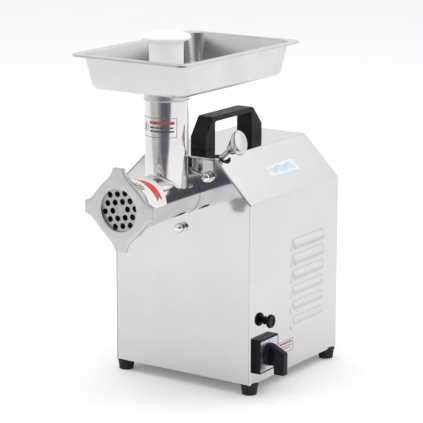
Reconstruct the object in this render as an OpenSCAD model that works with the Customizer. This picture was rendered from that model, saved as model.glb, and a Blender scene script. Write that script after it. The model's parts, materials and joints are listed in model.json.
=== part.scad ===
// Electric meat grinder, size 12, with its drive train, feed tray and controls.
// Millimetres. X across the machine, -Y towards the outlet, Z up from the bench.
// The origin is on the bench, under the middle of the casing.

/* [Casing] */
// Width of the casing across its side walls
body_w = 225; // [215:1:240]
// Depth of the casing, front panel to rear panel
body_d = 229; // [225:1:245]
// Height of the side walls above the casing's bottom edge
shoulder_h = 251; // [248:1:256]
// Height of the flat roof above the casing's bottom edge
roof_h = 307.3; // [306:0.1:312]
// Height of the rubber feet
foot_h = 15.5; // [12:0.5:25]
// Thickness of the casing sheet
sheet = 1.2; // [0.8:0.1:1.5]
// Outer radius of the casing's bends
bend_r = 3; // [2:0.5:6]
// Number of louvres in each side wall
louvre_count = 6; // [3:1:6]

/* [Grinding head] */
// Height of the head's axis above the casing's bottom edge
head_h = 257; // [255:0.5:258]
// Distance from the front panel to the front of the ring nut
head_reach = 143; // [142:0.5:150]
// Outer radius of the feed column
column_r = 29; // [28:0.5:30]
// Radius of the barrel's bore
bore_r = 26; // [25:0.5:26]
// Radius of the grinding plate
plate_r = 35; // [34.5:0.5:35]
// Thickness of the grinding plate
plate_t = 8; // [6:0.5:8]
// Radius of the holes in the plate
plate_hole_r = 4.1; // [2:0.1:4.5]
// Distance between neighbouring holes in the plate
plate_pitch = 12.2; // [11:0.1:12.4]
// Radius to the tips of the ring nut's lugs
lug_r = 56; // [52:0.5:60]

/* [Tray and pusher] */
// Width of the feed tray over its rim
tray_w = 190; // [170:1:210]
// Length of the feed tray over its rim
tray_l = 288; // [260:1:300]
// Depth of the feed tray
tray_h = 47.4; // [40:0.1:50]
// Radius of the pusher's shank
pusher_r = 23; // [20:0.5:24]

/* [Carry handle] */
// Width of the carry handle
handle_w = 25; // [20:1:30]
// Height of the carry handle above the roof
handle_rise = 44.2; // [40:0.1:55]

/* [Drive] */
// Radius of the motor
motor_r = 65; // [60:1:66]
// Teeth on the motor pinion
motor_teeth = 17; // [17:1:17]
// Teeth on the first gear
first_teeth = 85; // [85:1:85]
// Teeth on the second pinion
second_teeth = 15; // [15:1:15]
// Teeth on the output gear
output_teeth = 29; // [29:1:29]

/* [Controls] */
// Side of the rotary switch's square plate
switch_w = 48; // [44:1:50]
// Length of the switch knob's grip
grip_l = 40; // [34:1:42]
// How far the switch knob stands out from its plate
grip_out = 26.5; // [22:0.5:28]
// Travel of the reset button
reset_travel = 3; // [2:0.5:3]

/* [Hidden] */
$fn = 48;

fit = 0.06;             // running clearance on a radius
gap = 0.3;              // clearance between parts that pass each other
k_bend = tan(22.5);     // share of an offset that a 45 degree corner moves by

z0 = foot_h;
z_shoulder = z0 + shoulder_h;
z_roof = z0 + roof_h;
roof_half = body_w / 2 - (roof_h - shoulder_h);
side_x = body_w / 2;
y_front = -body_d / 2;
y_back = body_d / 2;
panel_t = 1.5;
panel_y = y_front + 0.8;          // outer face of the front panel
panel_in = panel_y + panel_t;     // inner face of the front panel
rear_y = y_back - 0.3 - panel_t;  // inner face of the rear panel
lip_w = 12;

// grinding head
z_head = z0 + head_h;
ring_y = y_front - head_reach;    // front face of the ring nut
lip_t = 3.6;                      // lip of the ring nut in front of the plate
plate_y = ring_y + lip_t + 0.1;   // front face of the plate
plate_back = plate_y + plate_t;
mouth_r = 28.5;                   // opening of the ring nut
ring_depth = 10.5;
thread_r = 38.3;
barrel_r = 30.5;                  // barrel where it meets the front panel
barrel_swell = 3.5;               // growth of the barrel's radius towards the outlet
swell_at = 98;                    // distance from the panel where it has grown by that much
spigot_r = 29;
spigot_end = y_front + 30.5;
column_y = y_front - 34;
column_bore = column_r - 3.5;
auger_r = bore_r - 0.5;
auger_back = y_front - 3.5;       // rear end of the auger's flight
tang_w = 14;                      // square tang of the auger
pin_r = 5.5;                      // front stud's pin in the plate
nose_y = y_front + 18.5;          // front face of the output shaft

// tray and pusher
z_rim = z0 + 452.2;
z_tray = z_rim - tray_h;          // underside of the tray
rim_w = 10.8;
tray_draft = 8.6;
tray_t = 1.2;
tray_mid = y_front + 17.3;        // middle of the tray along Y
neck_h = 16.3;
neck_r = column_r + fit + 1.1;
neck_flange_r = 40;               // the neck's flange, let into the tray's floor
flange_r = 32.6;
z_flange = z0 + 476.6;            // top of the pusher
z_pusher = z_head + bore_r + 1;   // foot of the pusher

// handle
handle_y = -4.5;                  // middle of the carry handle along Y
leg_y = [handle_y - 58, handle_y + 58];

// lock screw
y_lock = y_front + 20;
lock_tilt = 42;
lock_r = 5.5;
lock_in = spigot_r + 0.2;         // tip of the screw, measured from the head's axis
knob_in = 88.8;
knob_turn = 46;                   // how the grip is turned about the screw

// gears
first_module = 2;
second_module = 2.5;
z_counter = z_head - second_module * (second_teeth + output_teeth) / 2;
z_motor = z_counter - first_module * (motor_teeth + first_teeth) / 2;
gear_back = y_front + 106.5;      // rear face of the first gear
gear_front = gear_back - 13;
out_front = y_front + 69.5;       // front face of the output gear
out_back = out_front + 20;
cover_y = gear_back + 3;          // inner face of the gearbox cover
cover_t = 8;
floor_y = out_front - 3;          // inner face of the housing's floor
motor_y = cover_y + cover_t + 1;  // front of the motor
core_y = motor_y + 16;
core_l = 55;
bell_l = 16;
motor_end = core_y + core_l + bell_l;
shaft_r = 7.5;
out_r = 12.5;
bolt_pcd_r = 50.3;
bolt_angles = [30, 150, 270];

// controls
switch_y = y_front + 34.5;
switch_z = z0 + 38.5;
frame_t = 9;
reset_y = y_front + 37.2;
reset_z = z0 + 84.2;
reset_bush = 3.5;                 // the bush stands this far out of the casing
gland_x = -60;
gland_z = z0 + 45;

steel = [0.80, 0.81, 0.82];
bright = [0.88, 0.89, 0.90];
cast = [0.78, 0.78, 0.77];
black = [0.10, 0.10, 0.11];
copper = [0.72, 0.42, 0.22];

// ---------- helpers ----------

// A flat outline in X and Z, made solid from y_a to y_b
module along_y(y_a, y_b) {
    translate([0, y_b, 0])
        rotate([90, 0, 0])
            linear_extrude(y_b - y_a)
                children();
}

// A rod along Y
module rod(r, y_a, y_b, z = z_head, x = 0) {
    translate([x, y_b, z])
        rotate([90, 0, 0])
            cylinder(r = r, h = y_b - y_a);
}

// A ring along Y
module sleeve(r_out, r_in, y_a, y_b, z = z_head, x = 0) {
    difference() {
        rod(r_out, y_a, y_b, z, x);
        rod(r_in, y_a - 1, y_b + 1, z, x);
    }
}

// A rod along X
module cross_rod(r, x_a, x_b, y, z) {
    translate([x_a, y, z])
        rotate([0, 90, 0])
            cylinder(r = r, h = x_b - x_a);
}

// A block given by its lowest corner and its highest corner
module block(low, high) {
    translate(low)
        cube(high - low);
}

// Children drawn along Z are laid along the lock screw, from the head's axis outwards
module along_lock() {
    translate([0, y_lock, z_head])
        rotate([0, 90 - lock_tilt, 0])
            children();
}

// Outline of the casing, moved inwards by t, with its bends
function half_outline(t, r) =
    let (xs = side_x - t, zs = z_shoulder - t * k_bend, xr = roof_half - t * k_bend, zr = z_roof - t)
    concat(
        [for (a = [0:7.5:45]) [xs - r + r * cos(a), zs - r * k_bend + r * sin(a)]],
        [for (a = [45:7.5:90]) [xr - r * k_bend + r * cos(a), zr - r + r * sin(a)]]
    );
function mirrored(points) = [for (i = [len(points) - 1:-1:0]) [-points[i][0], points[i][1]]];
function casing_outline(t, r, z_low) =
    concat([[side_x - t, z_low]], half_outline(t, r), mirrored(half_outline(t, r)), [[t - side_x, z_low]]);

// Involute gear outline. lead is the angle of one tooth's middle.
function inv(a) = tan(a) * 180 / PI - a;
function tooth_half(teeth, m, r) =
    let (base = m * teeth * cos(20) / 2, at = max(r, base * 1.0001))
    90 / teeth + inv(20) - inv(acos(base / at)) - 3.5 / teeth;
function gear_points(teeth, m, lead) =
    let (
        pitch_r = m * teeth / 2,
        radii = [pitch_r - 1.25 * m, max(pitch_r - 0.8 * m, m * teeth * cos(20) / 2), pitch_r,
                 pitch_r + 0.55 * m, pitch_r + m]
    )
    [for (i = [0:teeth - 1], s = [-1, 1], j = [0:4])
        let (
            r = radii[s < 0 ? j : 4 - j],
            a = lead + 360 * i / teeth + s * tooth_half(teeth, m, r)
        )
        [r * cos(a), r * sin(a)]];

module gear(teeth, m, lead, y_a, y_b, z, hole_r) {
    difference() {
        translate([0, 0, z])
            along_y(y_a, y_b)
                polygon(gear_points(teeth, m, lead));
        rod(hole_r, y_a - 1, y_b + 1, z);
    }
}

module pan_screw(r, l, head_r) {
    cylinder(r = r, h = l);
    translate([0, 0, -head_r * 0.6])
        cylinder(r1 = head_r * 0.8, r2 = head_r, h = head_r * 0.6);
}

// ---------- casing and covers ----------

louvre_l = 87;
louvre_h = 20.2;
louvre_out = 4.5;
louvre_pitch = 22.2;
louvre_y = y_front + 104.5;
louvre_z = z0 + 54;

// One pressed louvre on the right side, open along its lower edge
module louvre(z) {
    hood = [for (a = [0:10:90]) [side_x + louvre_out * cos(a), z + louvre_h * sin(a)]];
    inner = [for (a = [90:-10:0])
        [side_x + (louvre_out - sheet) * cos(a), z + (louvre_h - sheet) * sin(a)]];
    back = side_x - 0.2;
    along_y(louvre_y, louvre_y + louvre_l)
        polygon(concat(hood, [[back, z + louvre_h], [back, z + louvre_h - sheet]], inner));
    for (y = [louvre_y, louvre_y + louvre_l - sheet])
        along_y(y, y + sheet)
            polygon(concat(hood, [[back, z + louvre_h], [back, z]]));
}

module side_louvres() {
    for (i = [0:louvre_count - 1])
        louvre(louvre_z + i * louvre_pitch);
}

module louvre_slots() {
    for (i = [0:louvre_count - 1])
        block([side_x - 3, louvre_y + sheet, louvre_z + i * louvre_pitch],
              [side_x + 1, louvre_y + louvre_l - sheet, louvre_z + i * louvre_pitch + louvre_h - sheet]);
}

module casing() {
    color(bright) {
        difference() {
            along_y(y_front, y_back)
                polygon(casing_outline(0, bend_r, z0));
            along_y(y_front - 1, y_back + 1)
                polygon(casing_outline(sheet, bend_r - sheet, z0 - 1));
            along_lock()
                translate([0, 0, 60])
                    cylinder(r = 11, h = 40);
            for (y = leg_y)
                translate([0, y, z_roof - 5])
                    cylinder(r = 3.2, h = 10);
            cross_rod(14, side_x - 5, side_x + 5, switch_y, switch_z);
            cross_rod(6.2, side_x - 5, side_x + 5, reset_y, reset_z);
            louvre_slots();
            mirror([1, 0, 0])
                louvre_slots();
        }
        side_louvres();
        mirror([1, 0, 0])
            side_louvres();
        // inward lip that carries the rear panel
        difference() {
            along_y(rear_y - 1.3, rear_y - 0.1)
                polygon(casing_outline(sheet / 2, bend_r - sheet / 2, z0 + 1.6));
            along_y(rear_y - 3, rear_y + 1)
                polygon(casing_outline(lip_w, bend_r, z0));
            rear_screw_places()
                cylinder(r = 2.05, h = 20, center = true);
        }
        // inward lips that carry the base plate
        for (s = [-1, 1])
            difference() {
                block([s * (side_x - 6) - 5.6, panel_in + 0.2, z0 + 1.6],
                      [s * (side_x - 6) + 5.6, rear_y - 2, z0 + 2.8]);
                base_screw_places()
                    cylinder(r = 2.05, h = 20, center = true);
                foot_places()
                    cylinder(r = boss_r + gap, h = z0 + 5);
            }
    }
}

module base_screw_places() {
    for (x = [-105, 105], y = [-60, 0, 60])
        translate([x, y, z0])
            children();
}

module rear_screw_places() {
    for (s = [-1, 1], z = [z0 + 30, z0 + 130, z0 + 230])
        translate([s * (side_x - 7), rear_y + panel_t, z])
            rotate([90, 0, 0])
                children();
}

module bolt_places() {
    for (a = bolt_angles)
        translate([bolt_pcd_r * cos(a), panel_y, z_head + bolt_pcd_r * sin(a)])
            rotate([90, 0, 0])
                children();
}

module front_panel() {
    color(bright)
        difference() {
            along_y(panel_y, panel_in)
                polygon(casing_outline(sheet + 0.1, bend_r - sheet, z0));
            rod(barrel_r + gap, panel_y - 1, panel_in + 1);
            bolt_places()
                cylinder(r = 4.3, h = 20, center = true);
        }
}

module rear_panel() {
    color(steel)
        difference() {
            along_y(rear_y, rear_y + panel_t)
                polygon(casing_outline(sheet + 0.1, bend_r - sheet, z0));
            rear_screw_places()
                cylinder(r = 2.3, h = 20, center = true);
            rod(8.1, rear_y - 1, rear_y + 4, gland_z, gland_x);
            for (i = [-4:4])
                block([-40, rear_y - 1, z_motor - 2 + i * 10], [40, rear_y + 4, z_motor + 2 + i * 10]);
        }
}

foot_x = 104;
foot_y = 102;
boss_r = 4;      // threaded bosses for the feet, in the base plate
module foot_places() {
    for (x = [-foot_x, foot_x], y = [-foot_y, foot_y])
        translate([x, y, 0])
            children();
}

module base_plate() {
    color(steel)
        difference() {
            union() {
                block([0.1 + sheet - side_x, panel_in + 0.1, z0],
                      [side_x - sheet - 0.1, rear_y - 0.1, z0 + panel_t]);
                foot_places()
                    translate([0, 0, z0 + 1])
                        cylinder(r = boss_r, h = 7);
            }
            foot_places()
                translate([0, 0, z0 - 1])
                    cylinder(r = 2.55, h = 20);
            base_screw_places()
                cylinder(r = 2.3, h = 20, center = true);
            bracket_screw_places()
                cylinder(r = 2.6, h = 20, center = true);
            for (i = [0:5])
                block([-60, i * 8 - 70, z0 - 1], [60, i * 8 - 67, z0 + 4]);
        }
}

module base_screws() {
    color(steel)
        base_screw_places()
            pan_screw(2, 6, 3.8);
}

module rear_screws() {
    color(steel)
        rear_screw_places()
            pan_screw(2, 8, 3.8);
}

module feet() {
    color(black)
        foot_places()
            difference() {
                cylinder(r1 = 10, r2 = 12.5, h = z0);
                translate([0, 0, -1])
                    cylinder(r = 5.5, h = 7);
                cylinder(r = 2.6, h = 30);
            }
}

module foot_screws() {
    color(steel)
        foot_places()
            translate([0, 0, 6])
                pan_screw(2.5, z0 + 1.5, 4.6);
}

// ---------- carry handle ----------

module carry_handle() {
    half = 53;
    leg = 24;
    grip = 7;
    z_top = z_roof + handle_rise;
    color(black)
        difference() {
            translate([-handle_w / 2, handle_y, 0])
                rotate([90, 0, 90])
                    linear_extrude(handle_w)
                        difference() {
                            polygon([
                                [-half - 17, z_roof], [-half - 16.5, z_roof + 18], [-half + 2, z_top - 1],
                                [-half + 5, z_top], [half - 5.5, z_top], [half - 2.5, z_top - 1],
                                [half + 19.5, z_roof + 18], [half + 20, z_roof]
                            ]);
                            polygon([
                                [-half - 17 + leg, z_roof - 1], [-half - 17 + leg, z_top - grip - 2],
                                [-half - 15 + leg, z_top - grip], [half + 15 - leg, z_top - grip],
                                [half + 17 - leg, z_top - grip - 2], [half + 17 - leg, z_roof - 1]
                            ]);
                        }
            for (y = leg_y)
                translate([0, y, z_roof - 1])
                    cylinder(r = 3.05, h = 17);
        }
}

module handle_screws() {
    color(steel)
        for (y = leg_y)
            translate([0, y, z_roof - sheet])
                pan_screw(3, 14, 5.5);
}

// ---------- gearbox ----------

wall = 5;
module cover_screw_places() {
    for (a = [-40, 0, 40, 140, 180, 220])
        translate([96 * cos(a), cover_y + cover_t, z_counter + 96 * sin(a)])
            rotate([90, 0, 0])
                children();
}

// The gear case's shape, grown by t around the gears
module gear_case(t, y_a, y_b) {
    rod(41 + t, y_a, y_b);
    rod(90 + t, y_a, y_b, z_counter);
    rod(24 + t, y_a, y_b, z_motor);
    block([-24 - t, y_a, z_motor], [24 + t, y_b, z_counter]);
}

module screw_bosses(y_a, y_b) {
    cover_screw_places()
        translate([0, 0, cover_y + cover_t - y_b])
            cylinder(r = 6, h = y_b - y_a);
}

module gearbox_housing() {
    hub_floor = y_front + 35;
    color(cast)
        difference() {
            union() {
                rod(44, panel_in, panel_in + 10);
                for (a = bolt_angles)
                    rod(12, panel_in, panel_in + 10, z_head + bolt_pcd_r * sin(a), bolt_pcd_r * cos(a));
                rod(38, panel_in, hub_floor);
                rod(30, hub_floor - 1, floor_y);
                rod(22, floor_y - 22, floor_y, z_counter);
                gear_case(wall, floor_y - 6, cover_y);
                screw_bosses(floor_y - 6, cover_y);
                along_lock()
                    translate([0, 0, 32])
                        cylinder(r = 11, h = 20);
            }
            rod(spigot_r + fit, panel_in - 1, hub_floor);
            rod(23.55, hub_floor - 1, floor_y + 1);
            rod(17.55, floor_y - 18, floor_y + 1, z_counter);
            gear_case(0, floor_y, cover_y + 1);
            along_lock()
                translate([0, 0, 20])
                    cylinder(r = lock_r + fit, h = 40);
            bolt_places()
                translate([0, 0, -10.7])
                    cylinder(r = 4.05, h = 12);
            cover_screw_places()
                cylinder(r = 2.55, h = 34);
        }
}

module gearbox_cover() {
    color(cast)
        difference() {
            union() {
                gear_case(wall, cover_y, cover_y + cover_t);
                screw_bosses(cover_y, cover_y + cover_t);
                rod(22, cover_y, cover_y + 14, z_counter);
            }
            rod(17.55, cover_y - 1, cover_y + 11, z_counter);
            rod(12.05, cover_y - 1, cover_y + 5, z_motor);
            rod(8.5, cover_y, cover_y + cover_t + 1, z_motor);
            cover_screw_places()
                translate([0, 0, -1])
                    cylinder(r = 2.6, h = 20);
        }
}

module cover_screws() {
    color(steel)
        cover_screw_places()
            pan_screw(2.5, 24, 4.6);
}

// Dome-headed bolts that hold the gearbox to the front panel
module gearbox_bolts() {
    color(bright)
        bolt_places() {
            translate([0, 0, -9.7])
                cylinder(r = 4, h = 9.7);
            rotate_extrude()
                polygon(concat([[0, 0], [7.6, 0], [7.6, 1.4], [6.8, 1.6], [6.8, 6]],
                               [for (a = [10:10:90]) [6.8 * cos(a), 6 + 5.2 * sin(a)]]));
        }
}

module ball_bearing(r_out, r_in, y_a, y_b, z) {
    mid = (r_out + r_in) / 2;
    race = (r_out - r_in) * 0.28;
    ball_r = min((y_b - y_a) * 0.36, (r_out - r_in) * 0.3);
    ball_y = (y_a + y_b) / 2;
    difference() {
        sleeve(r_out, r_in, y_a, y_b, z);
        for (y = [[y_a - 1, y_a + 1], [y_b - 1, y_b + 1]])
            sleeve(r_out - race, r_in + race, y[0], y[1], z);
    }
}

module output_bearings() {
    color(steel)
        for (y = [y_front + 40, y_front + 54.2])
            ball_bearing(23.5, out_r + fit, y, y + 12, z_head);
}

module counter_bearings() {
    color(steel)
        for (y = [floor_y - 17.5, cover_y + 0.5])
            ball_bearing(17.5, shaft_r + fit, y, y + 10, z_counter);
}

module motor_bearings() {
    color(steel)
        for (y = [motor_y + 1, motor_end - 11.4])
            ball_bearing(17.5, shaft_r + fit, y, y + 10.4, z_motor);
}

module oil_seals() {
    color(black) {
        sleeve(23.5, out_r + fit, y_front + 35.1, y_front + 39.9);
        sleeve(12, shaft_r + fit, cover_y + 0.1, cover_y + 4.9, z_motor);
    }
}

// ---------- motor ----------

module stator_core() {
    color(steel)
        difference() {
            sleeve(motor_r, 32.6, core_y, core_y + core_l, z_motor);
            for (i = [0:23])
                translate([0, 0, z_motor])
                    rotate([0, i * 15, 0])
                        block([-1.5, core_y - 1, 35], [1.5, core_y + core_l + 1, 50]);
        }
}

module stator_windings() {
    color(copper)
        for (y = [core_y - 10.4, core_y + core_l + 0.1])
            translate([0, y + 10.3, z_motor])
                rotate([90, 0, 0])
                    rotate_extrude()
                        polygon([[37, 1], [38, 0], [56, 0], [57, 1], [57, 7], [54, 10.3], [40, 10.3], [37, 7]]);
}

// One end bell of the motor, its outer face at y = 0 and its open side towards +Y
module end_bell() {
    difference() {
        union() {
            sleeve(motor_r, motor_r - 4, 0, bell_l, z_motor);
            rod(motor_r - 2, 0, 4, z_motor);
            rod(22, 0, 11.4, z_motor);
        }
        rod(17.55, 0.9, 12, z_motor);
        rod(9, -1, 2, z_motor);
        for (i = [0:7])
            translate([0, 0, z_motor])
                rotate([0, i * 45, 0])
                    block([-6, -1, 46], [6, 5, 55]);
    }
}

module motor_front_bell() {
    color(cast)
        translate([0, motor_y, 0])
            end_bell();
}

module motor_rear_bell() {
    color(cast)
        translate([0, motor_end, 0])
            mirror([0, 1, 0])
                end_bell();
}

web_y = [core_y + 8, core_y + 44];
module bracket_screw_places() {
    for (x = [-42, 42], y = web_y)
        translate([x, y + (y < core_y + 20 ? 12 : -9), z0])
            children();
}

module motor_bracket() {
    foot_z = z0 + panel_t;
    color(steel)
        difference() {
            union() {
                block([-54, web_y[0], foot_z], [54, web_y[1] + 3, foot_z + 3]);
                for (y = web_y)
                    block([-54, y, foot_z], [54, y + 3, z_motor - 22]);
            }
            rod(motor_r + 0.05, core_y, core_y + core_l, z_motor);
            bracket_screw_places()
                cylinder(r = 2.55, h = 20);
        }
}

module bracket_screws() {
    color(steel)
        bracket_screw_places()
            pan_screw(2.5, 6.5, 4.6);
}

cap_x = -82;
cap_z = z0 + panel_t + 21;
module start_capacitor() {
    color(black)
        rod(17.5, 15, 80, cap_z, cap_x);
    color(copper)
        for (x = [-6, 6])
            rod(1.5, 8, 15, cap_z, cap_x + x);
}

module capacitor_clip() {
    color(steel)
        difference() {
            union() {
                rod(19, 40, 52, cap_z, cap_x);
                block([cap_x - 16, 40, z0 + panel_t], [cap_x + 16, 52, z0 + panel_t + 3]);
            }
            rod(17.55, 39, 53, cap_z, cap_x);
        }
}

module terminal_block() {
    color("ivory")
        difference() {
            block([72, 40, z0 + panel_t], [94, 90, z0 + panel_t + 18]);
            for (i = [0:4])
                translate([83, 45 + i * 10, z0 + panel_t + 6])
                    cylinder(r = 3.2, h = 20);
            block([66, 39, z0 + panel_t + 12], [77, 91, z0 + 40]);
        }
}

// ---------- controls on the right side ----------

switch_out = side_x + frame_t;
module switch_body() {
    color(black)
        difference() {
            union() {
                block([70, switch_y - 19, switch_z - 19], [108, switch_y + 19, switch_z + 19]);
                cross_rod(13.5, 107, side_x, switch_y, switch_z);
            }
            cross_rod(3.06, 98, side_x + 1, switch_y, switch_z);
        }
}

module switch_frame() {
    half = switch_w / 2;
    edge = 2;
    outline = [
        [-half, edge - half], [edge - half, -half], [half - edge, -half], [half, edge - half],
        [half, half - edge], [half - edge, half], [edge - half, half], [-half, half - edge]
    ];
    color(black)
        difference() {
            translate([side_x, switch_y, switch_z])
                rotate([90, 0, 90])
                    linear_extrude(frame_t)
                        polygon(outline);
            block([switch_out - 1, switch_y - half + 2.5, switch_z - half + 2.5],
                  [switch_out + 1, switch_y + half - 2.5, switch_z + half - 2.5]);
            cross_rod(3.06, side_x - 1, switch_out + 1, switch_y, switch_z);
        }
}

module switch_plate() {
    half = switch_w / 2 - 2.6;
    color(steel)
        difference() {
            block([switch_out - 1, switch_y - half, switch_z - half],
                  [switch_out - 0.1, switch_y + half, switch_z + half]);
            cross_rod(3.06, side_x, switch_out + 1, switch_y, switch_z);
        }
}

module switch_knob() {
    low = -26;
    shoulder = 4.8;
    grip_w = 11;
    color(black)
        translate([switch_out, switch_y, switch_z])
            rotate([90, 0, 90]) {
                translate([0, 0, 0.3])
                    cylinder(r1 = 16, r2 = 15, h = 5.2);
                translate([0, 0, -20])
                    cylinder(r = 3, h = 21);
                translate([-grip_w / 2, 0, 0])
                    rotate([90, 0, 90])
                        linear_extrude(grip_w)
                            polygon([
                                [low, 10.5], [low, grip_out], [shoulder, grip_out], [low + grip_l, 5.5],
                                [low + grip_l, 4], [-13.5, 4], [-14.5, 10.5]
                            ]);
            }
}

module overload_cutout() {
    color(black)
        difference() {
            union() {
                block([84, reset_y - 14, reset_z - 9], [side_x - sheet - 0.3, reset_y + 14, reset_z + 9]);
                cross_rod(6, 108, side_x + reset_bush, reset_y, reset_z);
                cross_rod(8.5, side_x, side_x + 2.4, reset_y, reset_z);
            }
            cross_rod(5.6, 93.5, side_x - 3, reset_y, reset_z);
            cross_rod(3.56, 93, side_x + 5, reset_y, reset_z);
        }
}

module reset_button() {
    color(black) {
        cross_rod(3.5, 97.5, side_x + 8, reset_y, reset_z);
        cross_rod(5.3, 106.8, 108.8, reset_y, reset_z);
        translate([side_x + reset_bush + reset_travel + gap, reset_y, reset_z])
            rotate([0, 90, 0])
                rotate_extrude()
                    polygon([[0, 0], [8, 0], [9.5, 1.2], [9.5, 3.6], [8.6, 4.6], [6, 5.3], [0, 5.3]]);
    }
}

// Coil spring round the button's stem
spring_r = 4.6;
spring_wire = 0.45;
function coil_point(i, j) =
    let (turn = i * 22.5, r = spring_r + spring_wire * cos(j * 60))
    [94.2 + 0.15 * i + spring_wire * sin(j * 60), r * cos(turn), r * sin(turn)];
module reset_spring() {
    rings = 80;
    color(steel)
        translate([0, reset_y, reset_z])
            polyhedron(
                points = [for (i = [0:rings], j = [0:5]) coil_point(i, j)],
                faces = concat(
                    [[for (j = [0:5]) j]],
                    [for (i = [0:rings - 1], j = [0:5])
                        [i * 6 + j, i * 6 + 6 + j, i * 6 + 6 + (j + 1) % 6, i * 6 + (j + 1) % 6]],
                    [[for (j = [5:-1:0]) rings * 6 + j]]
                )
            );
}

module cable_gland() {
    outer = rear_y + panel_t;
    color(black)
        difference() {
            union() {
                rod(8, rear_y - 8, outer + 17, gland_z, gland_x);
                rod(11, rear_y - 5, rear_y - 0.2, gland_z, gland_x);
                rod(11, outer, outer + 5, gland_z, gland_x);
                rod(10, outer + 6, outer + 14, gland_z, gland_x);
            }
            rod(4, rear_y - 9, outer + 18, gland_z, gland_x);
        }
}

module lock_grommet() {
    color(black)
        difference() {
            intersection() {
                along_lock()
                    translate([0, 0, 58])
                        cylinder(r = 10.9, h = 24);
                along_y(y_front, y_lock + 20)
                    polygon(casing_outline(-0.8, bend_r, z0));
            }
            along_lock()
                translate([0, 0, 40])
                    cylinder(r = 8.2, h = 60);
            along_y(y_front, y_lock + 20)
                polygon(casing_outline(3.4, bend_r - 2, z0 - 1));
        }
}

// ---------- rotor and gears ----------

module rotor_core() {
    color(steel)
        sleeve(32, shaft_r + 0.03, core_y + 1, core_y + core_l - 1, z_motor);
}

module motor_shaft() {
    color(steel)
        rod(shaft_r, gear_front - 2, motor_end + 14, z_motor);
}

module motor_pinion() {
    color(steel)
        gear(motor_teeth, first_module, 90, gear_front, gear_back, z_motor, shaft_r + 0.03);
}

module cooling_fan() {
    fan_y = motor_end + 3;
    color(black)
        difference() {
            union() {
                rod(55, fan_y, fan_y + 1.6, z_motor);
                rod(12, fan_y, fan_y + 10, z_motor);
                for (i = [0:7])
                    translate([0, 0, z_motor])
                        rotate([0, i * 45, 0])
                            block([-1, fan_y, 10], [1, fan_y + 9, 54]);
            }
            rod(shaft_r + 0.03, fan_y - 1, fan_y + 12, z_motor);
        }
}

module countershaft() {
    color(steel)
        rod(shaft_r, floor_y - 17, cover_y + 10, z_counter);
}

module first_gear() {
    color(steel)
        gear(first_teeth, first_module, -90 + 180 / first_teeth, gear_front, gear_back, z_counter,
             shaft_r + 0.03);
}

module second_pinion() {
    color(steel)
        gear(second_teeth, second_module, 90, out_front - 1, out_back + 1, z_counter, shaft_r + 0.03);
}

module output_gear() {
    color(steel)
        gear(output_teeth, second_module, -90 + 180 / output_teeth, out_front, out_back, z_head, out_r + 0.03);
}

module output_shaft() {
    socket = tang_w / 2 + 0.15;
    color(steel)
        difference() {
            union() {
                rod(16, nose_y, y_front + 33);
                rod(out_r, y_front + 32, out_back + 1);
            }
            block([-socket, nose_y - 1, z_head - socket], [socket, nose_y + 14, z_head + socket]);
        }
}

// ---------- grinding head ----------

// Children drawn along Z are laid along the head's axis, from the front panel outwards
module along_head() {
    translate([0, y_front, z_head])
        rotate([90, 0, 0])
            children();
}

function barrel_at(u) = barrel_r + barrel_swell * pow(u / swell_at, 2);

// Outside of the barrel, from the end of its spigot to the end of its thread
module barrel_outline() {
    thread_end = head_reach - 4.2;
    along_head()
        rotate_extrude()
            polygon(concat(
                [[0, y_front - spigot_end], [spigot_r, y_front - spigot_end], [spigot_r, -2]],
                [for (u = [-2:42:124]) [barrel_at(u), u]],
                [[thread_r, 129.5], [thread_r, thread_end], [0, thread_end]]
            ));
}

module head_barrel() {
    drain_r = 6;
    drain_u = [23, 33];    // ends of the drain slot, from the front panel
    drain_angle = 56;
    color(bright)
        difference() {
            barrel_outline();
            rod(bore_r, ring_y, y_front - 1.5);
            rod(29, ring_y, ring_y + 21);
            rod(plate_r + fit, ring_y, plate_back);
            rod(12.56, y_front - 5, y_front + 40);
            rod(20, nose_y - 2, y_front + 40);
            translate([0, column_y, z_head])
                cylinder(r = column_bore, h = 60);
            for (u = drain_u)
                translate([0, y_front - u, z_head])
                    rotate([0, 90 + drain_angle, 0])
                        cylinder(r = drain_r, h = 42);
            translate([0, 0, z_head])
                rotate([0, drain_angle, 0])
                    block([20, y_front - drain_u[1], 0.1 - drain_r], [45, y_front - drain_u[0], drain_r - 0.1]);
            rod(2.03, plate_back - 6, plate_back + 5, z_head - plate_r);
        }
}

// Tube that stands on the barrel, its foot cut to the barrel's shape
module feed_column() {
    color(bright)
        difference() {
            translate([0, column_y, z_head])
                cylinder(r = column_r, h = z_tray - 2.7 - z_head);
            translate([0, column_y, z_head - 1])
                cylinder(r = column_bore, h = 200);
            barrel_outline();
        }
}

module grinder_plate() {
    rows = [[-2, 3], [-1, 4], [0, 5], [1, 4], [2, 3]];
    color(steel)
        difference() {
            rod(plate_r, plate_y, plate_back);
            translate([0, 0, z_head])
                rotate([0, -11, 0])
                    for (row = rows, i = [0:row[1] - 1])
                        if (row[0] != 0 || i != 2)
                            rod(plate_hole_r, plate_y - 1, plate_back + 1, row[0] * plate_pitch * cos(30),
                                (i - (row[1] - 1) / 2) * plate_pitch);
            rod(pin_r + fit, plate_y - 1, plate_back + 1);
            block([-2.4, plate_y - 1, z_head - plate_r - 1], [2.4, plate_back + 1, z_head - plate_r + 2.4]);
        }
}

module plate_key() {
    color(steel)
        rod(2, plate_back - 5, plate_back + 4.5, z_head - plate_r);
}

module auger() {
    flight_l = plate_back + 7.6 - auger_back;
    color(cast)
        translate([0, auger_back, z_head])
            rotate([90, 0, 0])
                linear_extrude(-flight_l, twist = 1260, slices = 72)
                    union() {
                        circle(r = 11, $fn = 24);
                        polygon(concat([[0, -4]], [for (a = [-10:4:10]) [auger_r * cos(a), auger_r * sin(a)]],
                                       [[0, 4]]));
                    }
}

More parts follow.
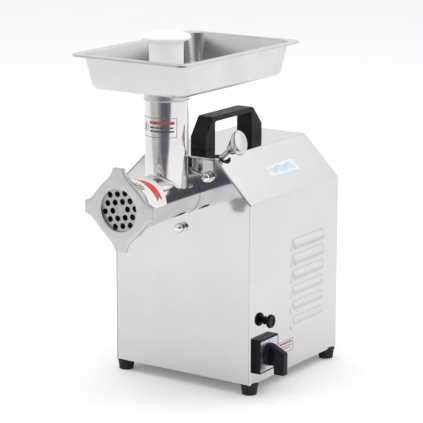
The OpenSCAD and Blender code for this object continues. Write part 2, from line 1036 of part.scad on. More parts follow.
module auger_shank() {
    half = tang_w / 2;
    color(steel) {
        rod(12.5, auger_back + 0.1, nose_y - 1);
        block([-half, nose_y - 2, z_head - half], [half, nose_y + 12.5, z_head + half]);
        rod(7, auger_back - 20, auger_back + 1);
    }
}

knife_back = plate_back + 6;
module auger_stud() {
    color(steel) {
        rod(pin_r, plate_y + 0.3, plate_back + 0.5);
        block([-5, plate_back + 0.2, z_head - 5], [5, knife_back + 1, z_head + 5]);
        rod(6, knife_back + 0.5, knife_back + 20);
    }
}

module knife() {
    color(steel)
        difference() {
            union() {
                rod(10, plate_back + 0.1, knife_back);
                for (i = [0:3])
                    translate([0, 0, z_head])
                        rotate([0, i * 90 + 20, 0])
                            block([-5, plate_back + 0.1, 0], [4, knife_back - 1, 26]);
            }
            block([-5.05, plate_back - 1, z_head - 5.05], [5.05, knife_back + 1, z_head + 5.05]);
        }
}

module thrust_washer() {
    color("white")
        sleeve(20, 12.53, auger_back + 0.1, auger_back + 1.8);
}

// Concave outline between the ring nut's four lugs
module ring_nut() {
    tip = 9.5;
    waist = 42;
    lug_turn = 1.5;
    flank = [
        [lug_r, tip - 2.5], [lug_r - 2.5, tip], [lug_r - 8, tip + 0.8], [lug_r - 12, tip + 4],
        [lug_r - 16, tip + 8.5]
    ];
    quarter = concat(flank, [[waist * cos(36), waist * sin(36)], [waist * cos(45), waist * sin(45)],
                             [waist * cos(54), waist * sin(54)]],
                     [for (i = [4:-1:0]) [flank[i][1], flank[i][0]]]);
    color(cast)
        difference() {
            union() {
                translate([0, 0, z_head])
                    along_y(ring_y + 0.3, ring_y + 6.3)
                        polygon([for (q = [0:3], p = quarter)
                            [p[0] * cos(q * 90 + lug_turn) - p[1] * sin(q * 90 + lug_turn),
                             p[0] * sin(q * 90 + lug_turn) + p[1] * cos(q * 90 + lug_turn)]]);
                rod(waist, ring_y + 0.5, ring_y + ring_depth);
                rod(waist - 2, ring_y, ring_y + 1);
            }
            rod(mouth_r, ring_y - 1, ring_y + 10);
            rod(thread_r + fit, ring_y + lip_t, ring_y + ring_depth + 1);
        }
}

// ---------- tray and pusher ----------

module slab(w, l, r, z, h = 0.02) {
    for (x = [r - w / 2, w / 2 - r], y = [r - l / 2, l / 2 - r])
        translate([x, tray_mid + y, z])
            cylinder(r = r, h = h, $fn = 32);
}

module tray_pan() {
    mouth_w = tray_w - 2 * rim_w;
    mouth_l = tray_l - 2 * rim_w;
    foot_w = mouth_w - 2 * tray_draft;
    foot_l = mouth_l - 2 * tray_draft;
    color(steel)
        difference() {
            union() {
                hull()
                    slab(tray_w, tray_l, 16, z_rim - 1.5, 1.5);
                hull() {
                    slab(mouth_w, mouth_l, 22, z_rim - 1.5);
                    slab(foot_w, foot_l, 18, z_tray);
                }
            }
            hull() {
                slab(mouth_w - 2 * tray_t, mouth_l - 2 * tray_t, 21, z_rim);
                slab(foot_w - 2 * tray_t, foot_l - 2 * tray_t, 17, z_tray + tray_t);
            }
            translate([0, column_y, z_tray - 1])
                cylinder(r = neck_flange_r, h = 5);
        }
}

module tray_neck() {
    color(steel)
        translate([0, column_y, z_tray - neck_h])
            difference() {
                union() {
                    cylinder(r = neck_r, h = neck_h + 0.1);
                    cylinder(r = neck_r + 0.7, h = 1.6);
                    translate([0, 0, neck_h])
                        cylinder(r = neck_flange_r, h = tray_t);
                }
                translate([0, 0, -1])
                    cylinder(r = column_r + fit, h = neck_h + 5);
            }
}

module pusher() {
    color("white")
        translate([0, column_y, 0])
            rotate_extrude()
                polygon([
                    [0, z_pusher], [pusher_r - 2, z_pusher], [pusher_r, z_pusher + 2], [pusher_r, z_flange - 8],
                    [flange_r - 1.5, z_flange - 6], [flange_r, z_flange - 4.5], [flange_r, z_flange - 2.5],
                    [flange_r - 1.5, z_flange - 1], [flange_r - 5, z_flange], [0, z_flange]
                ]);
}

// ---------- lock screw ----------

module lock_screw() {
    color(bright)
        along_lock() {
            translate([0, 0, lock_in])
                cylinder(r1 = 3.5, r2 = lock_r, h = 3);
            translate([0, 0, lock_in + 3])
                cylinder(r = lock_r, h = knob_in - lock_in - 3);
        }
}

module lock_knob() {
    half = 9.5;
    color(bright)
        along_lock() {
            translate([0, 0, knob_in])
                cylinder(r1 = 6.5, r2 = 12, h = 16);
            rotate([0, 0, 180 - knob_turn])
                translate([0, 0, knob_in]) {
                    for (x = [-half, half])
                        translate([x, 0, 15])
                            cylinder(r = 12, h = 9);
                    translate([-half, -12, 15])
                        cube([2 * half, 24, 9]);
                    rotate([90, 0, 0])
                        translate([0, 0, -5])
                            linear_extrude(10)
                                polygon([[-6, 1], [6, 1], [half + 10, 15.5], [-half - 10, 15.5]]);
                }
        }
}

casing();
front_panel();
rear_panel();
base_plate();
base_screws();
rear_screws();
feet();
foot_screws();
carry_handle();
handle_screws();
gearbox_housing();
gearbox_cover();
cover_screws();
gearbox_bolts();
output_bearings();
counter_bearings();
motor_bearings();
oil_seals();
stator_core();
stator_windings();
motor_front_bell();
motor_rear_bell();
motor_bracket();
bracket_screws();
start_capacitor();
capacitor_clip();
terminal_block();
switch_body();
switch_frame();
switch_plate();
overload_cutout();
cable_gland();
lock_grommet();
rotor_core();
motor_shaft();
motor_pinion();
cooling_fan();
countershaft();
first_gear();
second_pinion();
output_gear();
output_shaft();
head_barrel();
feed_column();
grinder_plate();
plate_key();
auger();
auger_shank();
auger_stud();
knife();
thrust_washer();
ring_nut();
tray_pan();
tray_neck();
pusher();
lock_screw();
lock_knob();
switch_knob();
reset_button();
reset_spring();
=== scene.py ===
"""Looks of an electric meat grinder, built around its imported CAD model. Metres, in the CAD's frame."""

import json
from math import cos, pi, radians, sin, sqrt, tan, tau

import bmesh
import bpy
from mathutils import Matrix, Vector


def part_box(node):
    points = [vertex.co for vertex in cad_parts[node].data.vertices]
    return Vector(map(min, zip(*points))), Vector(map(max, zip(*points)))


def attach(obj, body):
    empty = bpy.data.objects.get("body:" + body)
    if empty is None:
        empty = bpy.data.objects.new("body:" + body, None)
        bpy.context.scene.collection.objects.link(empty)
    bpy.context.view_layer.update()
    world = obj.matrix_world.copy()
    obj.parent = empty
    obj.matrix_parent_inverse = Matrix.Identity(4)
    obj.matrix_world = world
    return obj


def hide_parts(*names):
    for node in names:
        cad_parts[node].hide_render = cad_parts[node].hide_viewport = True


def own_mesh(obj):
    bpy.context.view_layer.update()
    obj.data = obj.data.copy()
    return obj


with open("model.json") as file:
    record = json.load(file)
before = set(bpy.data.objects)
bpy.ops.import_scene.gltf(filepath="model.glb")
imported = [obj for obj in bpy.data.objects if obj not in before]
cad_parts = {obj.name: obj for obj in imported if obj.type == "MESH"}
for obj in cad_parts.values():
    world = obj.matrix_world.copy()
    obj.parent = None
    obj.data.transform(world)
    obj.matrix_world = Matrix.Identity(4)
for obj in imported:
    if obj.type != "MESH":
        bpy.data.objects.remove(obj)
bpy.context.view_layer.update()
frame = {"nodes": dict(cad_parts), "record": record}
MM = 0.001

# ---------- places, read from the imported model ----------

casing_low, casing_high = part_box("casing")
panel_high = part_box("front_panel")[1]
plate_low, plate_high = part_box("grinder_plate")
ring_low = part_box("ring_nut")[0]
column_low, column_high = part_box("feed_column")
tray_low, tray_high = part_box("tray_pan")
neck_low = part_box("tray_neck")[0]
handle_low, handle_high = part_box("carry_handle")
frame_low, frame_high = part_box("switch_frame")
SHEET = 1.2 * MM  # thickness of the casing and the tray
PANEL_GAP = 0.1 * MM  # between the casing and its front panel in the CAD
CAMERA_TURN = 33.926  # degrees from the front towards the switch side
side = panel_high.x + SHEET + PANEL_GAP
front = casing_low.y
back = casing_high.y
bottom = casing_low.z
roof = casing_high.z
ROOF_HALF = 56.2 * MM  # half of the flat roof's width
shoulder = roof - (side - ROOF_HALF)
head_z = (plate_low.z + plate_high.z) / 2
column_y = (column_low.y + column_high.y) / 2
column_r = (column_high.x - column_low.x) / 2
LOCK_TILT = radians(42)  # the lock screw's rise above level
lock_y = front + 20 * MM
ABOUT_COLUMN = Matrix.Translation((0, column_y, 0))
OUTWARD = Matrix(((0, 0, 1, 0), (1, 0, 0, 0), (0, 1, 0, 0), (0, 0, 0, 1)))  # X to Y, Y to Z, Z to X


# ---------- mesh helpers ----------

def in_mm(points):
    """Pairs given in millimetres, as metres."""
    return [(a * MM, b * MM) for a, b in points]


def circle(radius, steps, z=0.0):
    """Points round the Z axis."""
    return [Vector((radius * cos(tau * i / steps), radius * sin(tau * i / steps), z)) for i in range(steps)]


def loft(loops, closed=False, cap_low=False, cap_high=False):
    """Vertices and faces that join loops of equal length, one after the other."""
    n = len(loops[0])
    verts = [Vector(p) for loop in loops for p in loop]
    faces = []
    for k in range(len(loops) if closed else len(loops) - 1):
        a, b = k * n, (k + 1) % len(loops) * n
        faces += [(a + i, a + (i + 1) % n, b + (i + 1) % n, b + i) for i in range(n)]
    if cap_low:
        faces.append(tuple(range(n))[::-1])
    if cap_high:
        faces.append(tuple(range(len(verts) - n, len(verts))))
    return verts, faces


def turned(profile, steps=96, closed=False):
    """A profile of (radius, z) points, turned about Z."""
    return loft([circle(r, steps, z) for r, z in profile], closed)


def prism(outline, low, high):
    """A flat outline in X and Y, made solid between two heights."""
    return loft([[Vector((x, y, z)) for x, y in outline] for z in (low, high)], False, True, True)


def moved(part, matrix):
    """A part is a pair of vertices and faces."""
    return [matrix @ v for v in part[0]], part[1]


def joined(*parts):
    """Several parts as one."""
    verts, faces = [], []
    for part in parts:
        faces += [tuple(i + len(verts) for i in face) for face in part[1]]
        verts += part[0]
    return verts, faces


def arc(x, y, radius, start, end, steps):
    """Points on an arc about (x, y), angles in degrees."""
    angles = [radians(start + (end - start) * i / steps) for i in range(steps + 1)]
    return [(x + radius * cos(a), y + radius * sin(a)) for a in angles]


def rounded(half_x, half_y, radius, steps):
    """A rectangle about the origin with round corners, anticlockwise."""
    x, y = half_x - radius, half_y - radius
    corners = ((x, y, 0), (-x, y, 90), (-x, -y, 180), (x, -y, 270))
    return [p for cx, cy, start in corners for p in arc(cx, cy, radius, start, start + 90, steps)]


def quarter(steps):
    """Angles from 0 to a right angle."""
    return [pi / 2 * i / steps for i in range(steps + 1)]


def clean(mesh, sharp=35, weld=True):
    """Welds a mesh, turns its faces outwards, and smooths all but the edges above an angle in degrees."""
    bm = bmesh.new()
    bm.from_mesh(mesh)
    if weld:
        bmesh.ops.remove_doubles(bm, verts=bm.verts, dist=2e-6)
        bmesh.ops.dissolve_degenerate(bm, edges=bm.edges, dist=1e-6)
        bmesh.ops.recalc_face_normals(bm, faces=bm.faces)
    for face in bm.faces:
        face.smooth = True
    for edge in bm.edges:
        edge.smooth = not (edge.is_manifold and edge.calc_face_angle(0) > radians(sharp))
    bm.to_mesh(mesh)
    bm.free()


def linked(name, data):
    """A new object in the scene."""
    obj = bpy.data.objects.new(name, data)
    bpy.context.scene.collection.objects.link(obj)
    return obj


def solid(name, part, sharp=35):
    """A new object from vertices and faces."""
    mesh = bpy.data.meshes.new(name)
    mesh.from_pydata([tuple(v) for v in part[0]], [], part[1])
    obj = linked(name, mesh)
    clean(mesh, sharp)
    return obj


def apply_modifier(obj, kind, **settings):
    """Adds one modifier and makes what it shows the object's own mesh."""
    modifier = obj.modifiers.new(kind, kind)
    for key, value in settings.items():
        setattr(modifier, key, value)
    bpy.context.view_layer.update()
    evaluated = obj.evaluated_get(bpy.context.evaluated_depsgraph_get())
    mesh = bpy.data.meshes.new_from_object(evaluated)
    obj.modifiers.clear()
    obj.data = mesh


def modified(obj, kind, sharp=35, **settings):
    """Applies one modifier and cleans the mesh."""
    apply_modifier(obj, kind, **settings)
    clean(obj.data, sharp)
    return obj


def bevelled(obj, width, segments=3, angle=30, sharp=35):
    return modified(obj, "BEVEL", sharp, width=width, segments=segments, limit_method="ANGLE",
                    angle_limit=radians(angle), use_clamp_overlap=True, harden_normals=False)


def cut(obj, part, sharp=35):
    """Takes a closed part out of obj."""
    cutter = solid("cutter", part)
    modified(obj, "BOOLEAN", sharp, operation="DIFFERENCE", object=cutter, solver="EXACT")
    bpy.data.objects.remove(cutter)


def thicken(obj, thickness, sharp=35):
    """Gives an open sheet its thickness, behind its faces."""
    modified(obj, "SOLIDIFY", sharp, thickness=thickness, offset=-1, use_even_offset=True)


def face_along(obj, axis):
    """Turns an open sheet over if its flat part faces away from an axis."""
    towards = [(face.area, face.normal.dot(axis)) for face in obj.data.polygons]
    if sum(area * share for area, share in towards if abs(share) > 0.9) < 0:
        obj.data.flip_normals()


def hand_over(obj, body, slot, replaces=(), material=None):
    """Gives a piece its body and its own look or its slot's, and hides the CAD nodes it stands for."""
    apply_modifier(obj, "WEIGHTED_NORMAL", keep_sharp=True, weight=90)  # flat sheet mirrors as flat
    obj.data.materials.clear()
    obj.data.materials.append(material or FINISHES[slot])
    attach(obj, body)
    if replaces:
        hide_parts(*replaces)


# ---------- materials ----------

def add(tree, kind, inputs=None, **settings):
    """A node with its settings, its values and the sockets that feed it."""
    node = tree.nodes.new(kind)
    for key, value in settings.items():
        setattr(node, key, value)
    for key, value in (inputs or {}).items():
        if isinstance(value, bpy.types.NodeSocket):
            tree.links.new(value, node.inputs[key])
        else:
            node.inputs[key].default_value = value
    return node


def noise(tree, size, stretch=(1, 1, 1), detail=3.0):
    """Noise with features of a size in millimetres, drawn out along an axis by stretch."""
    coordinate = add(tree, "ShaderNodeTexCoord")
    mapping = add(tree, "ShaderNodeMapping", {"Vector": coordinate.outputs["Object"],
                                              "Scale": [1 / s for s in stretch]})
    texture = add(tree, "ShaderNodeTexNoise", {"Vector": mapping.outputs[0], "Scale": 1 / (size * MM),
                                               "Detail": detail, "Roughness": 0.55})
    return texture.outputs[0]


def spread(tree, value, low, high):
    """Noise, which keeps near its middle, spread from low to high."""
    return add(tree, "ShaderNodeMapRange", {"Value": value, "From Min": 0.3, "From Max": 0.7,
                                            "To Min": low, "To Max": high}).outputs[0]


def blended(tree, share, first, second):
    """From the first colour to the second, by a share. The first may be a socket."""
    first = first if isinstance(first, bpy.types.NodeSocket) else (*first, 1)
    return add(tree, "ShaderNodeMix", {0: share, 6: first, 7: (*second, 1)}, data_type="RGBA").outputs[2]


def raised(tree, height, distance, strength=1.0, below=None):
    """A bump of a distance in millimetres, on top of another one."""
    bump = add(tree, "ShaderNodeBump", {"Height": height, "Distance": distance * MM, "Strength": strength})
    if below is not None:
        tree.links.new(below, bump.inputs["Normal"])
    return bump.outputs[0]


def new_material(name, **sockets):
    material = bpy.data.materials.new(name)
    material.use_nodes = True
    shader = material.node_tree.nodes["Principled BSDF"]
    for key, value in sockets.items():
        shader.inputs[key.replace("_", " ")].default_value = value
    return material, material.node_tree, shader


def metal(name, dark, light, smooth, rough, grain=0.3, stretch=(1, 1, 1), relief=0.002, wave=0.0,
          wave_size=60):
    """A metal with a drifting tone, a roughness from smooth to rough, a grain and waves. Millimetres."""
    material, tree, shader = new_material(name, Metallic=1.0)
    texture = noise(tree, grain, stretch)
    tone = spread(tree, noise(tree, 45), 0, 1)
    tree.links.new(blended(tree, tone, dark, light), shader.inputs["Base Color"])
    tree.links.new(spread(tree, texture, smooth, rough), shader.inputs["Roughness"])
    normal = raised(tree, noise(tree, wave_size, detail=1.0), wave) if wave else None
    tree.links.new(raised(tree, texture, relief, 1.0, normal), shader.inputs["Normal"])
    return material


def plastic(name, dark, light, smooth, rough, grain=0.5, relief=0.01, **sockets):
    """A moulded plastic or a rubber with a fine grain and a faint change of tone. Millimetres."""
    material, tree, shader = new_material(name, **sockets)
    texture = noise(tree, grain)
    tone = spread(tree, noise(tree, 20), 0, 1)
    tree.links.new(blended(tree, tone, dark, light), shader.inputs["Base Color"])
    tree.links.new(spread(tree, noise(tree, 6), smooth, rough), shader.inputs["Roughness"])
    tree.links.new(raised(tree, texture, relief), shader.inputs["Normal"])
    return material


def ink(name, color):
    """Printing on a label, a little uneven."""
    paler = [c + (1 - c) * 0.08 for c in color]
    return plastic(name, color, paler, 0.35, 0.5, grain=0.3, relief=0.001)


def grey(value, warmth=0.0):
    """A neutral colour, or one with more red than blue."""
    return (value * (1 + warmth), value, value * (1 - warmth))


polished = metal("polished_sheet", grey(0.605), grey(0.63), 0.05, 0.12, grain=0.25, stretch=(1, 30, 1),
                 relief=0.0004, wave=0.05, wave_size=90)
plain_sheet = metal("plain_sheet", grey(0.50), grey(0.56), 0.28, 0.40, stretch=(30, 1, 1))
polished_head = metal("polished_head", grey(0.70), grey(0.76), 0.06, 0.14, stretch=(1, 1, 12),
                      relief=0.001, wave=0.03, wave_size=30)
chrome = metal("lock_chrome", grey(0.74), grey(0.80), 0.04, 0.09, grain=0.5, relief=0.0004)
knob_steel = metal("knob_steel", grey(0.58, 0.02), grey(0.64, 0.02), 0.14, 0.24, grain=0.5)
satin_cast = metal("satin_cast", grey(0.60, 0.01), grey(0.67, 0.01), 0.36, 0.50, grain=0.35, relief=0.02)
ground_plate = metal("ground_plate", grey(0.42), grey(0.50), 0.26, 0.38, stretch=(8, 1, 1), relief=0.004)
brushed_tray = metal("brushed_tray", grey(0.60, 0.012), grey(0.66, 0.012), 0.20, 0.32, grain=0.22,
                     stretch=(1, 45, 1), relief=0.0012, wave=0.02, wave_size=70)
machined = metal("machined_steel", grey(0.45), grey(0.52), 0.22, 0.34, stretch=(1, 8, 1))
cast_case = metal("cast_aluminium", grey(0.48), grey(0.56), 0.45, 0.60, grain=0.8, relief=0.05)
gear_steel = metal("gear_steel", grey(0.30), grey(0.38), 0.25, 0.40, stretch=(1, 6, 1), relief=0.003)
# painted shade: a near-black steel for the knife and auger, so that the plate's holes read as dark with shade
painted_shade_steel = metal("painted_shade_steel", grey(0.05), grey(0.08), 0.45, 0.60, stretch=(1, 6, 1), relief=0.003)
lamination = metal("lamination", grey(0.16), grey(0.24), 0.40, 0.55, grain=0.5, stretch=(1, 0.2, 1),
                   relief=0.03)
copper_wire = metal("copper_wire", (0.45, 0.16, 0.06), (0.62, 0.26, 0.11), 0.25, 0.40, grain=0.7,
                    stretch=(1, 8, 1), relief=0.08)
handle_black = plastic("handle_black", (0.008, 0.009, 0.011), (0.012, 0.013, 0.016), 0.42, 0.55,
                       grain=0.6, relief=0.02, Specular_IOR_Level=0.22)
switch_black = plastic("switch_black", (0.005, 0.006, 0.008), (0.009, 0.010, 0.012), 0.28, 0.40,
                       relief=0.008, Specular_IOR_Level=0.14)
rubber = plastic("black_rubber", (0.007, 0.008, 0.011), (0.012, 0.014, 0.018), 0.55, 0.70, grain=0.8,
                 relief=0.03, Specular_IOR_Level=0.35)
# painted light: the pusher glows a little by emission, which lifts its shaded shank and stands for light
# passing through the plastic
glowing_white_plastic = plastic("pusher_white", (0.74, 0.745, 0.75), (0.77, 0.775, 0.78), 0.30, 0.42, grain=1.5,
                        Subsurface_Weight=0.15, Subsurface_Scale=0.01, Emission_Strength=0.3)
nylon = plastic("nylon", (0.78, 0.76, 0.68), (0.84, 0.82, 0.76), 0.35, 0.50)
switch_silver = metal("switch_silver", (0.50, 0.55, 0.63), (0.58, 0.63, 0.71), 0.26, 0.36,
                      stretch=(1, 1, 20), relief=0.001)
label_white = ink("label_white", (0.86, 0.87, 0.88))
ink_red = ink("ink_red", (0.78, 0.045, 0.025))
ink_dark_red = ink("ink_dark_red", (0.42, 0.035, 0.045))
ink_dark = ink("ink_dark", (0.03, 0.03, 0.04))
ink_brown = ink("ink_brown", (0.24, 0.20, 0.18))
ink_blue = ink("ink_blue", (0.32, 0.62, 0.84))

FINISHES = {
    "polished_casing": polished, "sheet_steel": plain_sheet, "machined_steel": machined,
    "foot_rubber": rubber, "handle_black": handle_black, "cast_case": cast_case,
    "bolt_chrome": chrome, "bearing_steel": machined, "seal_rubber": rubber,
    "lamination": lamination, "winding_copper": copper_wire, "capacitor_can": switch_black,
    "terminal_nylon": nylon, "switch_black": switch_black, "switch_silver": switch_silver,
    "grommet_rubber": rubber, "gear_steel": gear_steel, "fan_black": switch_black,
    "head_polished": polished_head, "plate_steel": ground_plate, "auger_cast": satin_cast,
    "washer_nylon": nylon, "ring_cast": satin_cast, "tray_steel": brushed_tray,
    "pusher_white": glowing_white_plastic, "lock_chrome": chrome, "spring_steel": machined,
}
DARKENED = {"knife": painted_shade_steel, "auger": painted_shade_steel}  # painted shade: knife and auger coloured near-black, standing for the shade seen behind the plate's holes
for part in frame["record"]["subparts"]:
    node = frame["nodes"][part["node"]]
    node.data.materials.clear()
    node.data.materials.append(DARKENED.get(part["node"], FINISHES[part["material_slot"]]))


# ---------- casing ----------

BEND_R = 3 * MM
HEM_R = 1.8 * MM  # rounding of the casing's front edge
HEM_WIDTH = 2.0 * MM  # how far its front flange turns inwards
LOUVRES = 6
LOUVRE_PITCH = 22.2 * MM
LOUVRE_HEIGHT = 20.2 * MM
LOUVRE_LENGTH = 87 * MM
LOUVRE_END = 7 * MM  # the length over which a louvre rises from the wall
louvre_low = bottom + 54 * MM
louvre_out = casing_high.x - side
louvre_front = front + 104.5 * MM
louvre_back = louvre_front + LOUVRE_LENGTH


def upper_outline(inset, bend):
    """Right half of the casing above its wall, as (x, z) points, moved inwards by inset."""
    r = max(bend, 0.2 * MM)
    k = tan(radians(22.5))
    knee = shoulder - inset * k
    ridge = ROOF_HALF - inset * k
    lower = arc(side - inset - r, knee - r * k, r, 0, 45, 6)
    upper = arc(ridge - r * k, roof - inset - r, r, 45, 90, 6)
    return lower + upper + [(0, roof - inset)]


def wall_rows():
    """Rows of the side wall as (height, share of the louvre's bulge). Each louvre's open edge is two rows."""
    rows = [(bottom, 0), (bottom + 20 * MM, 0)]
    steps = 12
    for i in range(LOUVRES):
        low = louvre_low + i * LOUVRE_PITCH
        rows.append((low, 0))
        for k in range(steps + 1):
            t = k / steps
            rows.append((low + t * LOUVRE_HEIGHT, (1 - t * t) ** 1.5))
    return rows


def louvre_share(y):
    """How far a louvre stands out along its length, 0 outside it."""
    inward = min(y - louvre_front, louvre_back - y)
    if inward <= 0:
        return 0
    return sin(min(inward / LOUVRE_END, 1) * pi / 2) ** 0.7


def casing_rows():
    """Stations along the casing as (y, inset), from the front flange to the rear edge."""
    rows = [(front, HEM_WIDTH)]
    rows += [(front + HEM_R * (1 - cos(a)), HEM_R * (1 - sin(a))) for a in quarter(6)]
    ends = [0, 0.6 * MM, 1.4 * MM, 2.4 * MM, 3.6 * MM, 5 * MM, LOUVRE_END]
    rows += [(louvre_front + d, 0) for d in ends]
    rows += [(louvre_front + d * MM, 0) for d in (25, 45, 65)]
    rows += [(louvre_back - d, 0) for d in reversed(ends)]
    return rows + [(back, 0)]


def casing_shell():
    """The sheet bent round the machine, with its louvres, open in front and behind."""
    walls = wall_rows()
    loops = []
    for y, inset in casing_rows():
        share = louvre_share(y)
        half = [(side - inset + louvre_out * share * rise, z) for z, rise in walls]
        half += upper_outline(inset, BEND_R - inset)
        whole = half + [(-x, z) for x, z in reversed(half[:-1])]
        loops.append([Vector((x, y, z)) for x, z in whole])
    n = len(loops[0])
    slits = {i for i in range(1, len(walls)) if walls[i][0] == walls[i - 1][0]}  # left open under a louvre
    slits |= {n - i for i in slits}
    faces = [(k * n + i - 1, k * n + i, (k + 1) * n + i, (k + 1) * n + i - 1)
             for k in range(len(loops) - 1) for i in range(1, n) if i not in slits]
    shell = solid("casing_shell", ([v for loop in loops for v in loop], faces))
    thicken(shell, SHEET)
    hole = turned(in_mm([(0, 62), (11, 62), (11, 96), (0, 96)]), 64)  # for the lock screw's grommet
    cut(shell, moved(hole, lock_frame()))
    hand_over(shell, "frame", "polished_casing", ["casing"])


def lock_frame(turn=0.0):
    """The lock screw's own frame: Z along the screw, from the head's axis outwards."""
    return (Matrix.Translation((0, lock_y, head_z)) @ Matrix.Rotation(pi / 2 - LOCK_TILT, 4, "Y")
            @ Matrix.Rotation(turn, 4, "Z"))


def full_outline(inset, bend):
    """The casing's whole outline as (x, z) points, moved inwards by inset."""
    foot = bottom + 0.4 * MM
    half = [(side - inset, foot)] + upper_outline(inset, bend)
    return half + [(-x, z) for x, z in reversed(half[:-1])]


def filled(*loops):
    """A flat sheet between an outer loop and the hole in it."""
    bm = bmesh.new()
    edges = []
    for loop in loops:
        verts = [bm.verts.new(p) for p in loop]
        edges += [bm.edges.new((verts[i - 1], verts[i])) for i in range(len(verts))]
    bmesh.ops.triangle_fill(bm, use_beauty=True, use_dissolve=False, edges=edges)
    bm.verts.index_update()
    part = [v.co.copy() for v in bm.verts], [tuple(v.index for v in f.verts) for f in bm.faces]
    bm.free()
    return part


def front_cover():
    """The front panel, set in the casing's flange, its edges turned back."""
    gap = 0.35 * MM
    aside = -0.3 * MM  # it doesn't sit quite in the middle
    edge = HEM_WIDTH + gap
    face_y = front + 0.5 * MM
    roll = 0.4 * MM
    depth = 9 * MM
    hole_r = 30.8 * MM
    rows = [(face_y + depth, edge)]
    rows += [(face_y + roll * (1 - sin(a)), edge + roll * (1 - cos(a))) for a in quarter(5)]
    loops = [[Vector((x + aside, y, z)) for x, z in full_outline(inset, BEND_R - inset + 2 * MM)]
             for y, inset in rows]
    hole = [Vector((p.x, face_y, p.y + head_z)) for p in circle(hole_r, 96)]
    cover = solid("front_cover", joined(loft(loops), filled(loops[-1], hole)))
    face_along(cover, Vector((0, -1, 0)))
    thicken(cover, SHEET)
    hand_over(cover, "frame", "polished_casing", ["front_panel"])


casing_shell()
front_cover()

# ---------- grinding head ----------

HEAD = Matrix.Translation((0, front, head_z)) @ Matrix.Rotation(pi / 2, 4, "X")  # Z runs out of the panel
BARREL_R = 30.5 * MM
SWELL = 3.5 * MM  # how much thicker the barrel is at SWELL_AT
SWELL_AT = 98 * MM
BARREL_END = 138.8  # millimetres from the front panel
BORE_R = 26
SHANK_R = 12.56
SPIGOT = 30.5  # how far the barrel goes into the gear case
ring_reach = front - ring_low.y  # from the front panel to the face of the ring nut


def barrel_radius(u):
    """Outside radius of the barrel at a distance from the panel."""
    return BARREL_R + SWELL * (u / SWELL_AT) ** 2


def barrel_outside():
    """Outside of the barrel as (radius, distance from the panel)."""
    spigot_r, thread_r = 29, 38.3
    swelling = [(barrel_radius(u * MM), u * MM) for u in range(-2, 129, 6)]
    thread = in_mm([(thread_r - 0.6, 129.5), (thread_r, 130), (thread_r, BARREL_END)])
    return in_mm([(spigot_r, -SPIGOT), (spigot_r, -2)]) + swelling + thread


def head_barrel():
    """The barrel with its plate seat, bore, shank bearing and seal seat, its feed hole and its drain slot."""
    seat = (front - plate_high.y) / MM
    plate_r, shoulder_r, seal_r = 35.06, 29, 20
    inside = [(plate_r, BARREL_END), (plate_r, seat), (shoulder_r, seat), (shoulder_r, 122), (BORE_R, 122),
              (BORE_R, 1.5), (SHANK_R, 1.5), (SHANK_R, -16.5), (seal_r, -16.5), (seal_r, -SPIGOT)]
    tube = turned(barrel_outside() + in_mm(inside), 128, closed=True)
    barrel = solid("barrel_tube", moved(tube, HEAD))
    feed = turned(in_mm([(0, 0), (25.5, 0), (25.5, 60), (0, 60)]), 96)
    cut(barrel, moved(feed, Matrix.Translation((0, column_y, head_z))))
    drain_r, drain_half = 6 * MM, 5 * MM
    drain_at = 28 * MM
    drain_turn = radians(90 + 56)
    slot = arc(0, drain_half, drain_r, 0, 180, 12) + arc(0, -drain_half, drain_r, 180, 360, 12)
    downward = Matrix.Translation((0, front - drain_at, head_z)) @ Matrix.Rotation(drain_turn, 4, "Y")
    cut(barrel, moved(prism(slot, 20 * MM, 42 * MM), downward))
    hand_over(barrel, "head", "head_polished", ["head_barrel"])


def feed_column():
    """The tube that the tray stands on, cut to the barrel's outside."""
    top = column_high.z
    wall = 3.5 * MM
    edge = 0.8 * MM
    low = head_z + 2 * MM
    profile = [(column_r, low)] + arc(column_r - edge, top - edge, edge, 0, 90, 4)
    profile += arc(column_r - wall + edge, top - edge, edge, 90, 180, 4) + [(column_r - wall, low)]
    column = solid("column_tube", moved(turned(profile, 128, closed=True), ABOUT_COLUMN))
    bite = 0.4 * MM  # how far the column goes into the barrel's wall
    core = [(r - bite, u) for r, u in barrel_outside()]
    core = [(0, core[0][1])] + core + [(0, core[-1][1])]
    cut(column, moved(turned(core, 128), HEAD))
    hand_over(column, "head", "head_polished", ["feed_column"])


def weld_bead():
    """The fillet between the column and the barrel."""
    steps = 120
    reach = 2.4 * MM
    sunk = 0.5 * MM
    step = 0.01

    def foot(a):
        x, y = column_r * cos(a), column_y + column_r * sin(a)
        radius = barrel_radius(front - y)
        return Vector((x, y, head_z + sqrt(radius ** 2 - x ** 2)))

    def dropped(p):
        """A point near the barrel, brought onto it."""
        radius = barrel_radius(front - p.y)
        flat = Vector((p.x, 0, p.z - head_z)).normalized() * radius
        return Vector((flat.x, p.y, head_z + flat.z))

    loops = []
    for i in range(steps):
        a = tau * i / steps
        p = foot(a)
        along = (foot(a + step) - foot(a - step)).normalized()
        wall = Vector((cos(a), sin(a), 0))
        ground = Vector((p.x, 0, p.z - head_z)).normalized()
        up = wall.cross(along)
        up *= 1 if up.z > 0 else -1
        out = along.cross(ground)
        out *= 1 if out.dot(wall) > 0 else -1
        high = p + up * reach
        far = dropped(p + out * reach)
        curve = [high * (1 - t) ** 2 + p * 2 * t * (1 - t) + far * t ** 2 for t in (0, 0.25, 0.5, 0.75, 1)]
        loops.append(curve + [p - wall * sunk - ground * sunk])
    bead = solid("column_weld", loft(loops, closed=True))
    hand_over(bead, "head", "head_polished")


def shifted(loop, inset):
    """A flat closed loop moved inwards by inset."""
    n = len(loop)
    points = []
    for i, p in enumerate(loop):
        run = (loop[(i + 1) % n] - loop[i - 1]).normalized()
        points.append(p + Vector((-run.y, run.x)) * inset)
    return points


